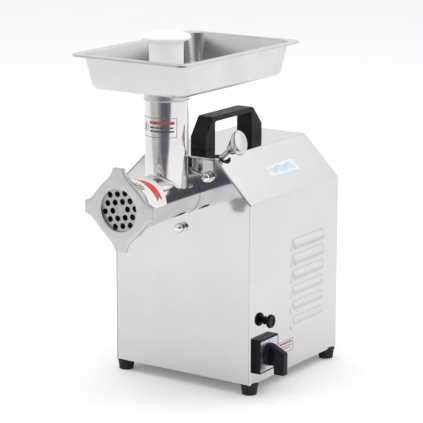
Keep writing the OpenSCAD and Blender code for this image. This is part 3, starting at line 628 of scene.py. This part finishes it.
def bezier(a, b, c, d, steps):
    """Points of a cubic curve after its start."""
    points = []
    for i in range(1, steps + 1):
        t = i / steps
        w = ((1 - t) ** 3, 3 * t * (1 - t) ** 2, 3 * t * t * (1 - t), t ** 3)
        points.append(tuple(w[0] * a[k] + w[1] * b[k] + w[2] * c[k] + w[3] * d[k] for k in (0, 1)))
    return points


def lug_outline():
    """Four lugs with hollow flanks between them, anticlockwise, turned a little as the nut is tightened."""
    tip, corner_r, turn = 56.0, 2.6, 1.5
    corner = arc(tip - corner_r, 6.9, corner_r, 0, 78, 5)
    flank = bezier(corner[-1], (45.5, 10.2), (38.9, 20.5), (29.7, 29.7), 12)
    half = [(tip, 2.3), (tip, 4.6)] + corner + flank[:-1]
    lug = [(x, -y) for x, y in reversed(half)] + [(tip, 0)] + half + [flank[-1]]
    return [Matrix.Rotation(radians(90 * q + turn), 2) @ Vector(p) * MM for q in range(4) for p in lug]


def ring_nut():
    """The nut as loops over its lugs' outline; depths are millimetres behind its face."""
    outline = lug_outline()
    brim = shifted(outline, 2 * MM)
    mouth, thread, body = 28.5, 38.4, 42
    lip, deep = 3.6, 10.5

    def lift(p, depth):
        return Vector((p.x, p.y, ring_reach - depth * MM))

    def round_loop(radius, depth, within=None):
        limits = [p.length - 0.6 * MM for p in within] if within else [radius * MM] * len(outline)
        return [lift(p.normalized() * min(radius * MM, most), depth) for p, most in zip(outline, limits)]

    def lug_loop(inset, depth, least=0.0):
        loop = shifted(outline, inset * MM)
        return [lift(p if p.length > least * MM else p.normalized() * least * MM, depth) for p in loop]

    loops = [round_loop(mouth, lip), round_loop(mouth, 0.9), round_loop(mouth + 0.2, 0.3),
             round_loop(mouth + 0.8, 0), round_loop(37.5, 0, brim), round_loop(40, 0.05, brim),
             lug_loop(2.0, 0.3), lug_loop(0.9, 0.6), lug_loop(0.25, 1.3), lug_loop(0, 2.3),
             lug_loop(0, 4.8, body), lug_loop(0.3, 5.7, body), lug_loop(1.2, 6.3, body),
             round_loop(body, 6.7), round_loop(body, 9.2), round_loop(body - 0.5, deep - 0.3),
             round_loop(body - 1.2, deep), round_loop(thread, deep), round_loop(thread, lip)]
    nut = solid("ring_wheel", moved(loft(loops, closed=True), HEAD), 40)
    hand_over(nut, "ring", "ring_cast", ["ring_nut"])


# ---------- tray and pusher ----------

tray_mid = (tray_low.y + tray_high.y) / 2
tray_half = Vector((tray_high.x, (tray_high.y - tray_low.y) / 2))


def tray_loop(inset, z, radius):
    """A loop round the tray, inset from its outer edge; the corner radius is in millimetres."""
    around = rounded(tray_half.x - inset, tray_half.y - inset, radius * MM, 10)
    return [Vector((x, y + tray_mid, z)) for x, y in around]


def tray_shell():
    """The tray from its turned-down rim by its wall and the bend at its foot to its floor."""
    rim_w = 10.8 * MM
    draft = 8.6 * MM
    edge_r, lip_r, bend_r = 1.4 * MM, 2.2 * MM, 8 * MM
    hole_r = 29.1 * MM
    top = tray_high.z
    floor = tray_low.z + SHEET
    wall_top = rim_w + SHEET
    foot = wall_top + draft * (1 - bend_r / (top - tray_low.z))
    profile = [(SHEET, top - 2.9 * MM, 15.5)]
    profile += [(SHEET + edge_r * (1 - sin(a)), top - edge_r * (1 - cos(a)), 15.5)
                for a in reversed(quarter(5))]
    profile += [(wall_top - lip_r * (1 - sin(a)), top - lip_r * (1 - cos(a)), 20.5)
                for a in [radians(16 * i) for i in range(6)]]
    profile += [(foot + bend_r * (1 - sin(a)), floor + bend_r * (1 - cos(a)), 18 - 6 * (1 - sin(a)))
                for a in [radians(84 - 14 * i) for i in range(7)]]
    loops = [tray_loop(*row) for row in profile]
    hole = [Vector((p.x, column_y + p.y, floor)) for p in circle(hole_r, 96)]
    tray = solid("feed_tray", joined(loft(loops), filled(loops[-1], hole)))
    face_along(tray, Vector((0, 0, 1)))
    thicken(tray, SHEET)
    hand_over(tray, "tray", "tray_steel", ["tray_pan"])


def tray_collar():
    """The tray's neck, with a bead at its foot and a fillet under the tray."""
    low, floor = neck_low.z, tray_low.z
    bead, fillet, lap = 0.9 * MM, 1.6 * MM, 0.3 * MM
    bore = column_r + 0.06 * MM
    outer = bore + 1.1 * MM
    profile = [(bore, low)] + arc(outer - 0.2 * MM, low + bead, bead, -90, 60, 6)
    profile += [(outer, low + 2.2 * MM), (outer, floor - fillet)]
    profile += arc(outer + fillet, floor - fillet, fillet, 180, 90, 5)
    profile += [(outer + fillet, floor + lap), (bore, floor + lap)]
    collar = solid("tray_collar", moved(turned(profile, 128, closed=True), ABOUT_COLUMN))
    hand_over(collar, "tray", "tray_steel", ["tray_neck"])


def pusher():
    """A rod with a flat domed cap; the cap's points are (radius, depth below its top) in millimetres."""
    low, high = (p.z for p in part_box("pusher"))
    rod_r, foot_r = 22.6 * MM, 3 * MM
    shape = [(0, 0), (14, 0.05), (22, 0.3), (27, 0.9), (30, 1.8), (31.8, 3.2), (32.5, 4.8), (32.5, 6.0),
             (31.8, 7.1), (30, 8.0), (27, 8.9), (24.6, 10.2), (23.2, 12), (22.9, 14)]
    profile = [(r * MM, high - d * MM) for r, d in shape]
    profile += arc(rod_r - foot_r, low + foot_r, foot_r, 0, -90, 5) + [(0, low)]
    rod = solid("pusher_rod", moved(turned(profile, 96), ABOUT_COLUMN))
    hand_over(rod, "pusher", "pusher_white", ["pusher"])


# ---------- carry handle ----------

def carry_handle():
    """A bow with facets outside and a rounded finger gap, drawn from the side in millimetres."""
    near, far = handle_low.y / MM, handle_high.y / MM
    foot, top = handle_low.z / MM, handle_high.z / MM
    grip, corner = 7, 3
    outside = [(near, foot), (near + 0.5, foot + 18), (near + 19, top - 1), (near + 22, top),
               (far - 25.5, top), (far - 22.5, top - 1), (far - 0.5, foot + 18), (far, foot)]
    level = top - grip - corner
    inside = [(far - 27, foot)] + arc(far - 27 - corner, level, corner, 0, 90, 4)
    inside += arc(near + 24 + corner, level, corner, 90, 180, 4) + [(near + 24, foot)]
    bow = in_mm(outside + inside)
    handle = solid("handle_bow", moved(prism(bow, handle_low.x, handle_high.x), OUTWARD))
    bevelled(handle, 1.4 * MM, 3, 20, 25)
    hand_over(handle, "frame", "handle_black", ["carry_handle"])


# ---------- lock screw ----------

KNOB_AT = 88.8 * MM  # along the screw, from the head's axis
KNOB_TURN = radians(134)  # of the grip's length about the screw


def lock_thread():
    """The screw, with a thread that winds up its shank."""
    start = 29.2 * MM
    pitch = 2.5 * MM
    crest = 5.5 * MM
    depth = 1.2 * MM
    taper, taper_length = 1.6 * MM, 4 * MM
    steps, rows = 40, 8  # points round the screw, and loops for each pitch

    def point(i, z):
        phase = (z / pitch - i / steps) % 1
        slim = taper * (1 - min((z - start) / taper_length, 1))
        r = crest - depth * abs(2 * phase - 1) - slim
        return Vector((r * cos(tau * i / steps), r * sin(tau * i / steps), z))

    count = int((KNOB_AT - start) / pitch * rows)
    heights = [start + k * pitch / rows for k in range(count + 1)]
    loops = [[point(i, z) for i in range(steps)] for z in heights]
    screw = solid("lock_thread", moved(loft(loops, False, True, True), lock_frame()), 60)
    hand_over(screw, "lock", "lock_chrome", ["lock_screw"])


def lock_grip():
    """The knob: a cone from the shank that opens into an oval grip."""
    steps = 72
    long, wide = 21.5, 12.0
    power = 2.2  # 2 would be an ellipse, and more is squarer

    def oval(scale, z, share):
        """A loop at a height in millimetres, round for share 0 and oval for share 1."""
        loop = []
        for i in range(steps):
            a = tau * i / steps
            reach = (abs(cos(a) / long) ** power + abs(sin(a) / wide) ** power) ** (-1 / power)
            r = (wide * (1 - share) + reach * share) * scale * MM
            loop.append(Vector((r * cos(a), r * sin(a), KNOB_AT + z * MM)))
        return loop

    rows = [(0.48, 0.0, 0), (0.52, 0.4, 0), (0.54, 1.2, 0)]
    rows += [(0.54 + 0.44 * k / 8, 1.2 + 1.85 * k, k / 8) for k in range(1, 9)]
    rows += [(1.0, 17.4, 1), (1.0, 20.6, 1), (0.985, 21.8, 1), (0.94, 22.8, 1), (0.90, 23.3, 1),
             (0.86, 23.4, 1), (0.5, 23.9, 1), (0.02, 24.0, 1)]
    knob = loft([oval(*row) for row in rows], False, True, True)
    grip = solid("lock_grip", moved(knob, lock_frame(KNOB_TURN)), 50)
    hand_over(grip, "lock", "lock_chrome", ["lock_knob"], knob_steel)


# ---------- controls ----------

switch_mid = (frame_low + frame_high) / 2


def at_switch(part):
    """Moves a part that stands on the switch's middle, up along Z, onto the side wall."""
    return moved(part, Matrix.Translation((0, switch_mid.y, switch_mid.z)) @ OUTWARD)


def switch_bezel():
    """A square frame with soft edges and a shallow bed for the plate, in millimetres."""
    half = (frame_high.y - frame_low.y) / 2 / MM
    base, top = frame_low.x / MM, frame_high.x / MM
    rows = in_mm([(half - 0.4, base), (half, base + 0.6), (half, top - 1.2), (half - 0.4, top - 0.4),
                  (half - 1.2, top), (half - 2.4, top), (half - 2.6, top - 0.2), (half - 2.6, top - 1.1)])

    def corner_r(h):
        return 2.4 * MM + (h - half * MM) * 0.6

    loops = [[Vector((x, y, z)) for x, y in rounded(h, h, corner_r(h), 6)] for h, z in rows]
    bezel = solid("switch_bezel", at_switch(loft(loops, False, True, True)), 30)
    hand_over(bezel, "frame", "switch_black", ["switch_frame"])


def switch_grip():
    """A disc on a stem, with a bar across it that hangs down. Millimetres from the frame's face."""
    on_top = Matrix.Translation((0, 0, frame_high.x))
    disc = turned(in_mm([(0, 0.3), (15.6, 0.3), (16, 0.7), (15.9, 2.2), (15.4, 4.6), (15.0, 5.3), (14.2, 5.6),
                         (0, 5.6)]), 72)
    stem = turned(in_mm([(0, -20), (3, -20), (3, 1), (0, 1)]), 32)
    side_view = in_mm([(-26, 10.5), (-26, 26.5), (4.8, 26.5), (9.8, 16), (14, 6.4), (14, 4.4), (-13.5, 4.4),
                       (-14.5, 10.5)])
    half_width = 5.5 * MM
    lever = solid("lever", moved(prism(side_view, -half_width, half_width), OUTWARD))
    bevelled(lever, 1.1 * MM, 3, 25)
    shape = [v.co.copy() for v in lever.data.vertices], [tuple(p.vertices) for p in lever.data.polygons]
    bpy.data.objects.remove(lever)
    grip = solid("switch_grip", at_switch(moved(joined(disc, stem, shape), on_top)))
    hand_over(grip, "switch", "switch_black", ["switch_knob"])


def reset_cap():
    """A stem with a flange inside the cut-out and a dished mushroom head, in millimetres."""
    low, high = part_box("reset_button")
    mid = (low + high) / 2
    length = (high.x - low.x) / MM
    head = length - 5.3
    stem = [(0, 0), (3.1, 0), (3.5, 0.4), (3.5, 9.3), (5.3, 9.3), (5.3, 11.3), (3.5, 11.3),
            (3.5, head - 0.15)]
    mushroom = [(3.8, 0), (8.2, 0), (9.1, 0.5), (9.5, 1.5), (9.45, 3.2), (9.0, 4.4), (8.1, 5.1), (7.0, 5.3),
                (6.0, 5.0), (5.2, 4.3), (4.4, 3.9), (0, 3.7)]
    cap = turned(in_mm(stem + [(r, head + z) for r, z in mushroom]), 64)
    button = solid("reset_cap", moved(cap, Matrix.Translation((low.x, mid.y, mid.z)) @ OUTWARD), 40)
    hand_over(button, "reset", "switch_black", ["reset_button"])


def cutout_housing():
    """The cut-out behind the wall, and the collar that its button slides in."""
    low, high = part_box("overload_cutout")
    axis = Matrix.Translation((low.x, (low.y + high.y) / 2, (low.z + high.z) / 2)) @ OUTWARD
    wide, tall, deep, bore = 13.9, 8.9, 26.9, 3.6
    outline = in_mm([(-wide, -tall), (wide, -tall), (wide, tall), (-wide, tall)])
    housing = bevelled(solid("cutout_housing", moved(prism(outline, 0, deep * MM), axis)), 0.8 * MM)
    pocket = [(0, 9), (bore, 9), (bore, 9.5), (5.6, 9.5), (5.6, 28), (0, 28)]
    cut(housing, moved(turned(in_mm(pocket)), axis))
    hand_over(housing, "frame", "switch_black", ["overload_cutout"])
    shape = [(bore, deep), (5.9, deep), (5.9, 29.1), (5.6, 29.5), (5.0, 29.7), (4.6, 30.3), (4.5, 31.7),
             (4.2, 32), (bore, 32)]
    collar = solid("cutout_collar", moved(turned(in_mm(shape), 64, closed=True), axis), 40)
    hand_over(collar, "frame", "switch_black", ["overload_cutout"])


def return_spring():
    """The coil behind the reset button, built at the CAD spring's length; the real one shortens as the button
    goes in.
    """
    low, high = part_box("reset_spring")
    mid = (low + high) / 2
    wire = 0.42 * MM
    radius = (high.z - low.z) / 2 - wire
    turns = 5
    steps = 24 * turns
    run = high.x - low.x - 2 * wire
    along = Vector((1, 0, 0))

    def section(i):
        a = tau * turns * i / steps
        outward = Vector((0, cos(a), sin(a)))
        centre = Vector((low.x + wire + run * i / steps, mid.y, mid.z)) + outward * radius
        return [centre + (outward * p.x + along * p.y) for p in circle(wire, 8)]

    coil = solid("return_coil", loft([section(i) for i in range(steps + 1)], False, True, True), 60)
    hand_over(coil, "frame", "spring_steel", ["reset_spring"])
    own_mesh(coil)


def feet():
    """Four ribbed rubber feet; their profile is in millimetres."""
    low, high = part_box("feet")
    rise = (high.z - low.z) / MM
    shape = [(5.5, 0), (9.2, 0), (9.9, 0.3), (10.2, 1.0), (10.4, 3.0)]
    for k in range(3):
        z = 4.2 + 2.6 * k
        r = 10.5 + 0.35 * k
        shape += [(r + 0.1, z - 0.4), (r - 0.25, z), (r - 0.25, z + 0.5), (r + 0.2, z + 0.9)]
    shape += [(12.0, rise - 3.2), (12.5, rise - 2.2), (12.5, rise - 0.8), (12.1, rise - 0.2), (11.4, rise),
              (2.6, rise), (2.6, 6), (5.5, 6)]
    foot = turned(in_mm(shape), 64, closed=True)
    widest = max(r for r, z in shape) * MM
    places = [(x, y) for x in (low.x + widest, high.x - widest) for y in (low.y + widest, high.y - widest)]
    four = joined(*[moved(foot, Matrix.Translation((x, y, 0))) for x, y in places])
    hand_over(solid("feet_rubber", four, 40), "frame", "foot_rubber", ["feet"])


# ---------- labels, with no lettering ----------

def on_column(a, z, lift):
    """A point on the column, a in degrees from the front towards the switch side."""
    r = column_r + lift
    return Vector((r * sin(radians(a)), column_y - r * cos(radians(a)), z))


def on_barrel(y, a, lift):
    """A point on the barrel, a in degrees from the switch side upwards."""
    r = barrel_radius(front - y) + lift
    return Vector((r * cos(radians(a)), y, head_z + r * sin(radians(a))))


def on_slope(y, down, lift):
    """A point on the right slope, down from its ridge."""
    k = sqrt(0.5)
    return Vector((ROOF_HALF + (down + lift) * k, y, roof - (down - lift) * k))


def on_wall(y, z, lift):
    return Vector((side + lift, y, z))


FILM = (0.02 * MM, 0.10 * MM)  # underside and top of the film above a surface
INK = (0.10 * MM, 0.16 * MM)  # and of the printing


def strip(surface, one, other, low, high, closed=False, across=1):
    """A thin printed band between two rows of points on a surface."""
    loops = []
    for p, q in zip(one, other):
        row = [tuple(p[k] + (q[k] - p[k]) * i / across for k in (0, 1)) for i in range(across + 1)]
        loops.append([surface(*r, low) for r in row] + [surface(*r, high) for r in reversed(row)])
    return loft(loops, closed, not closed, not closed)


def straight(a, b, steps):
    """Points from a to b, both kept."""
    return [tuple(a[k] + (b[k] - a[k]) * i / steps for k in (0, 1)) for i in range(steps + 1)]


def printed(surface, u, v, steps=1, lift=INK):
    """A printed bar over two ranges of a surface's own measures, divided along the first."""
    return strip(surface, *[straight((u[0], b), (u[1], b), steps) for b in v], *lift)


def printed_round(surface, u, v, steps):
    """The same, divided along the second."""
    return strip(surface, *[straight((a, v[0]), (a, v[1]), steps) for a in u], *INK)


def border(surface, u, v, line_u, line_v, steps=1):
    """Four bars round a field."""
    along = [printed(surface, u, (low, low + line_v), steps) for low in (v[0], v[1] - line_v)]
    return along + [printed(surface, (low, low + line_u), v) for low in (u[0], u[1] - line_u)]


def mm_range(low, high, start=0.0):
    """A range given in millimetres from a start in metres."""
    return start + low * MM, start + high * MM


def print_piece(name, parts, material, body="head", slot="head_polished"):
    """Printing on the grinding head, or on another body."""
    hand_over(solid(name, joined(*parts), 60), body, slot, (), material)


def print_on_casing(name, parts, material):
    print_piece(name, parts, material, "frame", "polished_casing")


def column_label():
    """Outline, headline, two broken lines and a round sign, printed on clear film."""
    turn = CAMERA_TURN
    per_metre = 1 / column_r / radians(1)  # degrees round the column
    line = 0.7 * MM
    parts = border(on_column, (turn - 84, turn + 29.5), mm_range(356.5, 382.8), line * per_metre, line, 40)
    sign_a, sign_z = turn - 66, 369.5 * MM

    def sign_circle(radius):
        return [(sign_a + p.x * per_metre, sign_z + p.y) for p in circle(radius, 24)]

    parts.append(strip(on_column, sign_circle(5.6 * MM), sign_circle(6.2 * MM), *INK, True))
    print_piece("column_label_outline", parts, ink_dark_red)

    def words(ends, z0, z1, steps):
        return [printed(on_column, (turn + a, turn + b), mm_range(z0, z1), steps) for a, b in ends]

    headline = words([(-48, -38), (-37, -22), (-21, -9), (-8, 8), (9, 22)], 374.4, 378.2, 8)
    print_piece("column_label_headline", headline, ink_dark_red)
    rows = words([(-48, -30), (-28, -19), (-17, -5), (-3, 7), (9, 19)], 368.6, 370.8, 6)
    rows += words([(-48, -36), (-34, -14), (-12, 2), (4, 21)], 363.8, 366, 6)
    rows += words([(-68, -64)], 366, 373, 2)
    print_piece("column_label_lines", rows, ink_dark)


def barrel_label():
    """A white wrap with a curved arrow that shows which way the ring turns. Angles are in degrees."""
    y0, y1 = front - 128.0 * MM, front - 81.0 * MM
    tip, tail, notch = 92, 23, 10
    half = 4  # strips on either side of the arrow's middle

    def round_line(y, start, step, count):
        return [(y, start + i * step) for i in range(count)]

    film = strip(on_barrel, round_line(y0, 1, 3.5, 38), round_line(y1, 1, 3.5, 38), *FILM, across=8)
    print_piece("barrel_label_film", [film], label_white)

    def mid(a):
        return front - (98.6 + 0.12 * (a - 37)) * MM

    def half_width(a):
        return (0.4 + 6.7 * min(max((tip - a) / 36, 0), 1) ** 0.8 - max(37 - a, 0) * 0.06) * MM

    def arrow_edge(k):
        """One of nine lines along the arrow; its tail is notched."""
        end = tail - notch * abs(k) / half
        angles = [tip + (end - tip) * i / 28 for i in range(29)]
        return [(mid(a) + half_width(a) * k / half, a) for a in angles]

    arrow = [strip(on_barrel, arrow_edge(k), arrow_edge(k + 1), *INK) for k in range(-half, half)]
    print_piece("barrel_label_arrow", arrow, ink_red)
    rule = [round_line(y0 + d * MM, 3, 3, 14) for d in (3.2, 3.8)]
    print_piece("barrel_label_line", [strip(on_barrel, *rule, *INK)], ink_dark_red)
    bars = [printed_round(on_barrel, mm_range(low, high, y0), (a, a + 4), 6)
            for low, high, a in ((1.0, 11.5, 48), (1.0, 12.5, 54), (0.5, 12.5, 60), (0.5, 8.5, 66))]
    print_piece("barrel_label_bars", bars, ink_brown)


def slope_label():
    """A white plate with a generic wave on it."""
    y0, y1 = mm_range(85.1, 157.6, front)
    d0, d1 = mm_range(31.4, 49.5)
    print_on_casing("slope_label_film", [printed(on_slope, (y0, y1), (d0, d1), 1, FILM)], label_white)
    waves = []
    for k in range(3):
        width = (1.7 - 0.35 * k) * MM
        mid = d0 + (5.2 + 3.4 * k) * MM
        points = [(y0 + (8 + 3 * k + i * 1.4) * MM, mid + 1.5 * MM * sin(i * 0.33 + k)) for i in range(40)]
        waves.append(strip(on_slope, points, [(y, d + width) for y, d in points], *INK))
    print_on_casing("slope_label_wave", waves, ink_blue)


def wall_label():
    """A small outlined label beside the switch."""
    y0, y1 = mm_range(62, 111, front)
    line = 0.6 * MM

    def words(ends, z0, z1):
        return [printed(on_wall, mm_range(a, b, y0), mm_range(z0, z1)) for a, b in ends]

    edges = border(on_wall, (y0, y1), mm_range(40.2, 57.6), line, line)
    headline = words([(14, 21), (22.5, 31), (32.5, 37), (38.5, 45)], 52.2, 55.2)
    print_on_casing("wall_label_red", edges + headline, ink_dark_red)
    rows = words([(14, 22), (24, 33), (35, 44)], 48.2, 49.5)
    rows += words([(14, 26), (28, 36), (38, 42)], 44.9, 46.2)
    print_on_casing("wall_label_lines", rows, ink_brown)


def switch_marks():
    """Ticks round the knob, the middle and the ends longer."""
    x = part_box("switch_plate")[1].x
    half, start, thin = 0.35, 17.6, 0.06 * MM
    parts = []
    for a in (-60, -30, 0, 30, 60):
        end = start + (3.4 if a % 60 == 0 else 2.0)
        tick = prism(in_mm([(-half, start), (half, start), (half, end), (-half, end)]), x, x + thin)
        parts.append(moved(tick, Matrix.Rotation(radians(a), 4, "Z")))
    print_piece("switch_ticks", [at_switch(joined(*parts))], ink_dark, "frame", "switch_silver")


head_barrel()
feed_column()
weld_bead()
ring_nut()
tray_shell()
tray_collar()
pusher()
carry_handle()
lock_thread()
lock_grip()
switch_bezel()
switch_grip()
reset_cap()
cutout_housing()
return_spring()
feet()
column_label()
barrel_label()
slope_label()
wall_label()
switch_marks()

# ---------- stage ----------

def stage_floor():
    """A white floor. It ends in front of the machine, so that the panel mirrors the room beyond it too."""
    wide, near, far = 14, -1.33, 14
    corners = [(-wide, near, 0), (wide, near, 0), (wide, far, 0), (-wide, far, 0)]
    floor = solid("floor", (corners, [(0, 1, 2, 3)]))
    material, tree, shader = new_material("floor_white", Roughness=0.9, Emission_Strength=0.08)
    tone = spread(tree, noise(tree, 400), 0, 1)
    tree.links.new(blended(tree, tone, grey(0.965), grey(0.98)), shader.inputs["Base Color"])
    floor.data.materials.append(material)


CAMERA_RISE = 13.046  # degrees
CAMERA_ROLL = radians(0.106)
CAMERA_DISTANCE = 2.7347
CAMERA_TARGET = Vector((-12.1, -23.0, 225.0)) * MM
LENS = 165.7  # on a sensor 36 wide


def away(azimuth, elevation):
    """The direction from the object towards a viewer, from two angles in degrees."""
    azimuth, elevation = radians(azimuth), radians(elevation)
    return Vector((sin(azimuth) * cos(elevation), -cos(azimuth) * cos(elevation), sin(elevation)))


def camera():
    data = bpy.data.cameras.new("camera")
    data.lens = LENS
    data.sensor_width = 36
    data.clip_end = 60
    obj = linked("camera", data)
    outward = away(CAMERA_TURN, CAMERA_RISE)
    obj.location = CAMERA_TARGET + outward * CAMERA_DISTANCE
    aim = outward.to_track_quat("Z", "Y").to_matrix() @ Matrix.Rotation(CAMERA_ROLL, 3, "Z")
    obj.rotation_euler = aim.to_euler()
    bpy.context.scene.camera = obj


def softbox(name, direction, distance, size, power):
    """A lamp that faces the object and isn't seen in the polished sheet."""
    data = bpy.data.lights.new(name, "AREA")
    data.shape = "RECTANGLE"
    data.size, data.size_y = size
    data.energy = power
    obj = linked(name, data)
    middle = Vector((0, -0.05, 0.2))
    obj.location = middle + direction * distance
    obj.rotation_euler = direction.to_track_quat("Z", "Y").to_euler()
    obj.visible_glossy = False


def surroundings():
    """A bright studio, darker on the side that the picture is taken from."""
    world = bpy.data.worlds.new("studio")
    world.use_nodes = True
    bpy.context.scene.world = world
    tree = world.node_tree
    sky = tree.nodes["Background"]
    direction = add(tree, "ShaderNodeTexCoord").outputs["Generated"]

    def patch(azimuth, elevation, edge, core):
        """1 towards a direction, fading to 0; edge and core are cosines of the angle from it."""
        near = add(tree, "ShaderNodeVectorMath", {0: direction, 1: away(azimuth, elevation)},
                   operation="DOT_PRODUCT").outputs["Value"]
        return add(tree, "ShaderNodeMapRange", {"Value": near, "From Min": edge, "From Max": core},
                   interpolation_type="SMOOTHSTEP").outputs[0]

    room = blended(tree, patch(165, 40, -0.2, 0.9), grey(0.92), grey(1.0))
    room = blended(tree, patch(166, 42, 0.962, 1.0), room, grey(1.46))
    room = blended(tree, patch(147, 16, 0.955, 0.99), room, grey(1.25))
    room = blended(tree, patch(-20, 5, 0.1, 0.85), room, grey(0.60))
    room = blended(tree, patch(-42, 12, 0.93, 0.985), room, grey(1.02))
    room = blended(tree, patch(32, 4, 0.58, 0.96), room, (0.12, 0.13, 0.16))
    seen = add(tree, "ShaderNodeLightPath").outputs["Is Camera Ray"]
    tree.links.new(blended(tree, seen, room, (1, 1, 1)), sky.inputs["Color"])


stage_floor()
camera()
surroundings()
softbox("key_light", away(-40, 66), 2.2, (1.6, 1.2), 11)
softbox("fill_light", away(25, 24), 2.6, (1.6, 1.2), 9)
softbox("rim_light", away(150, 45), 2.4, (1.8, 1.2), 10)
bpy.context.scene.view_settings.view_transform = "Standard"

for node in frame["nodes"].values():
    clean(node.data, weld=False)  # its points stay where they are
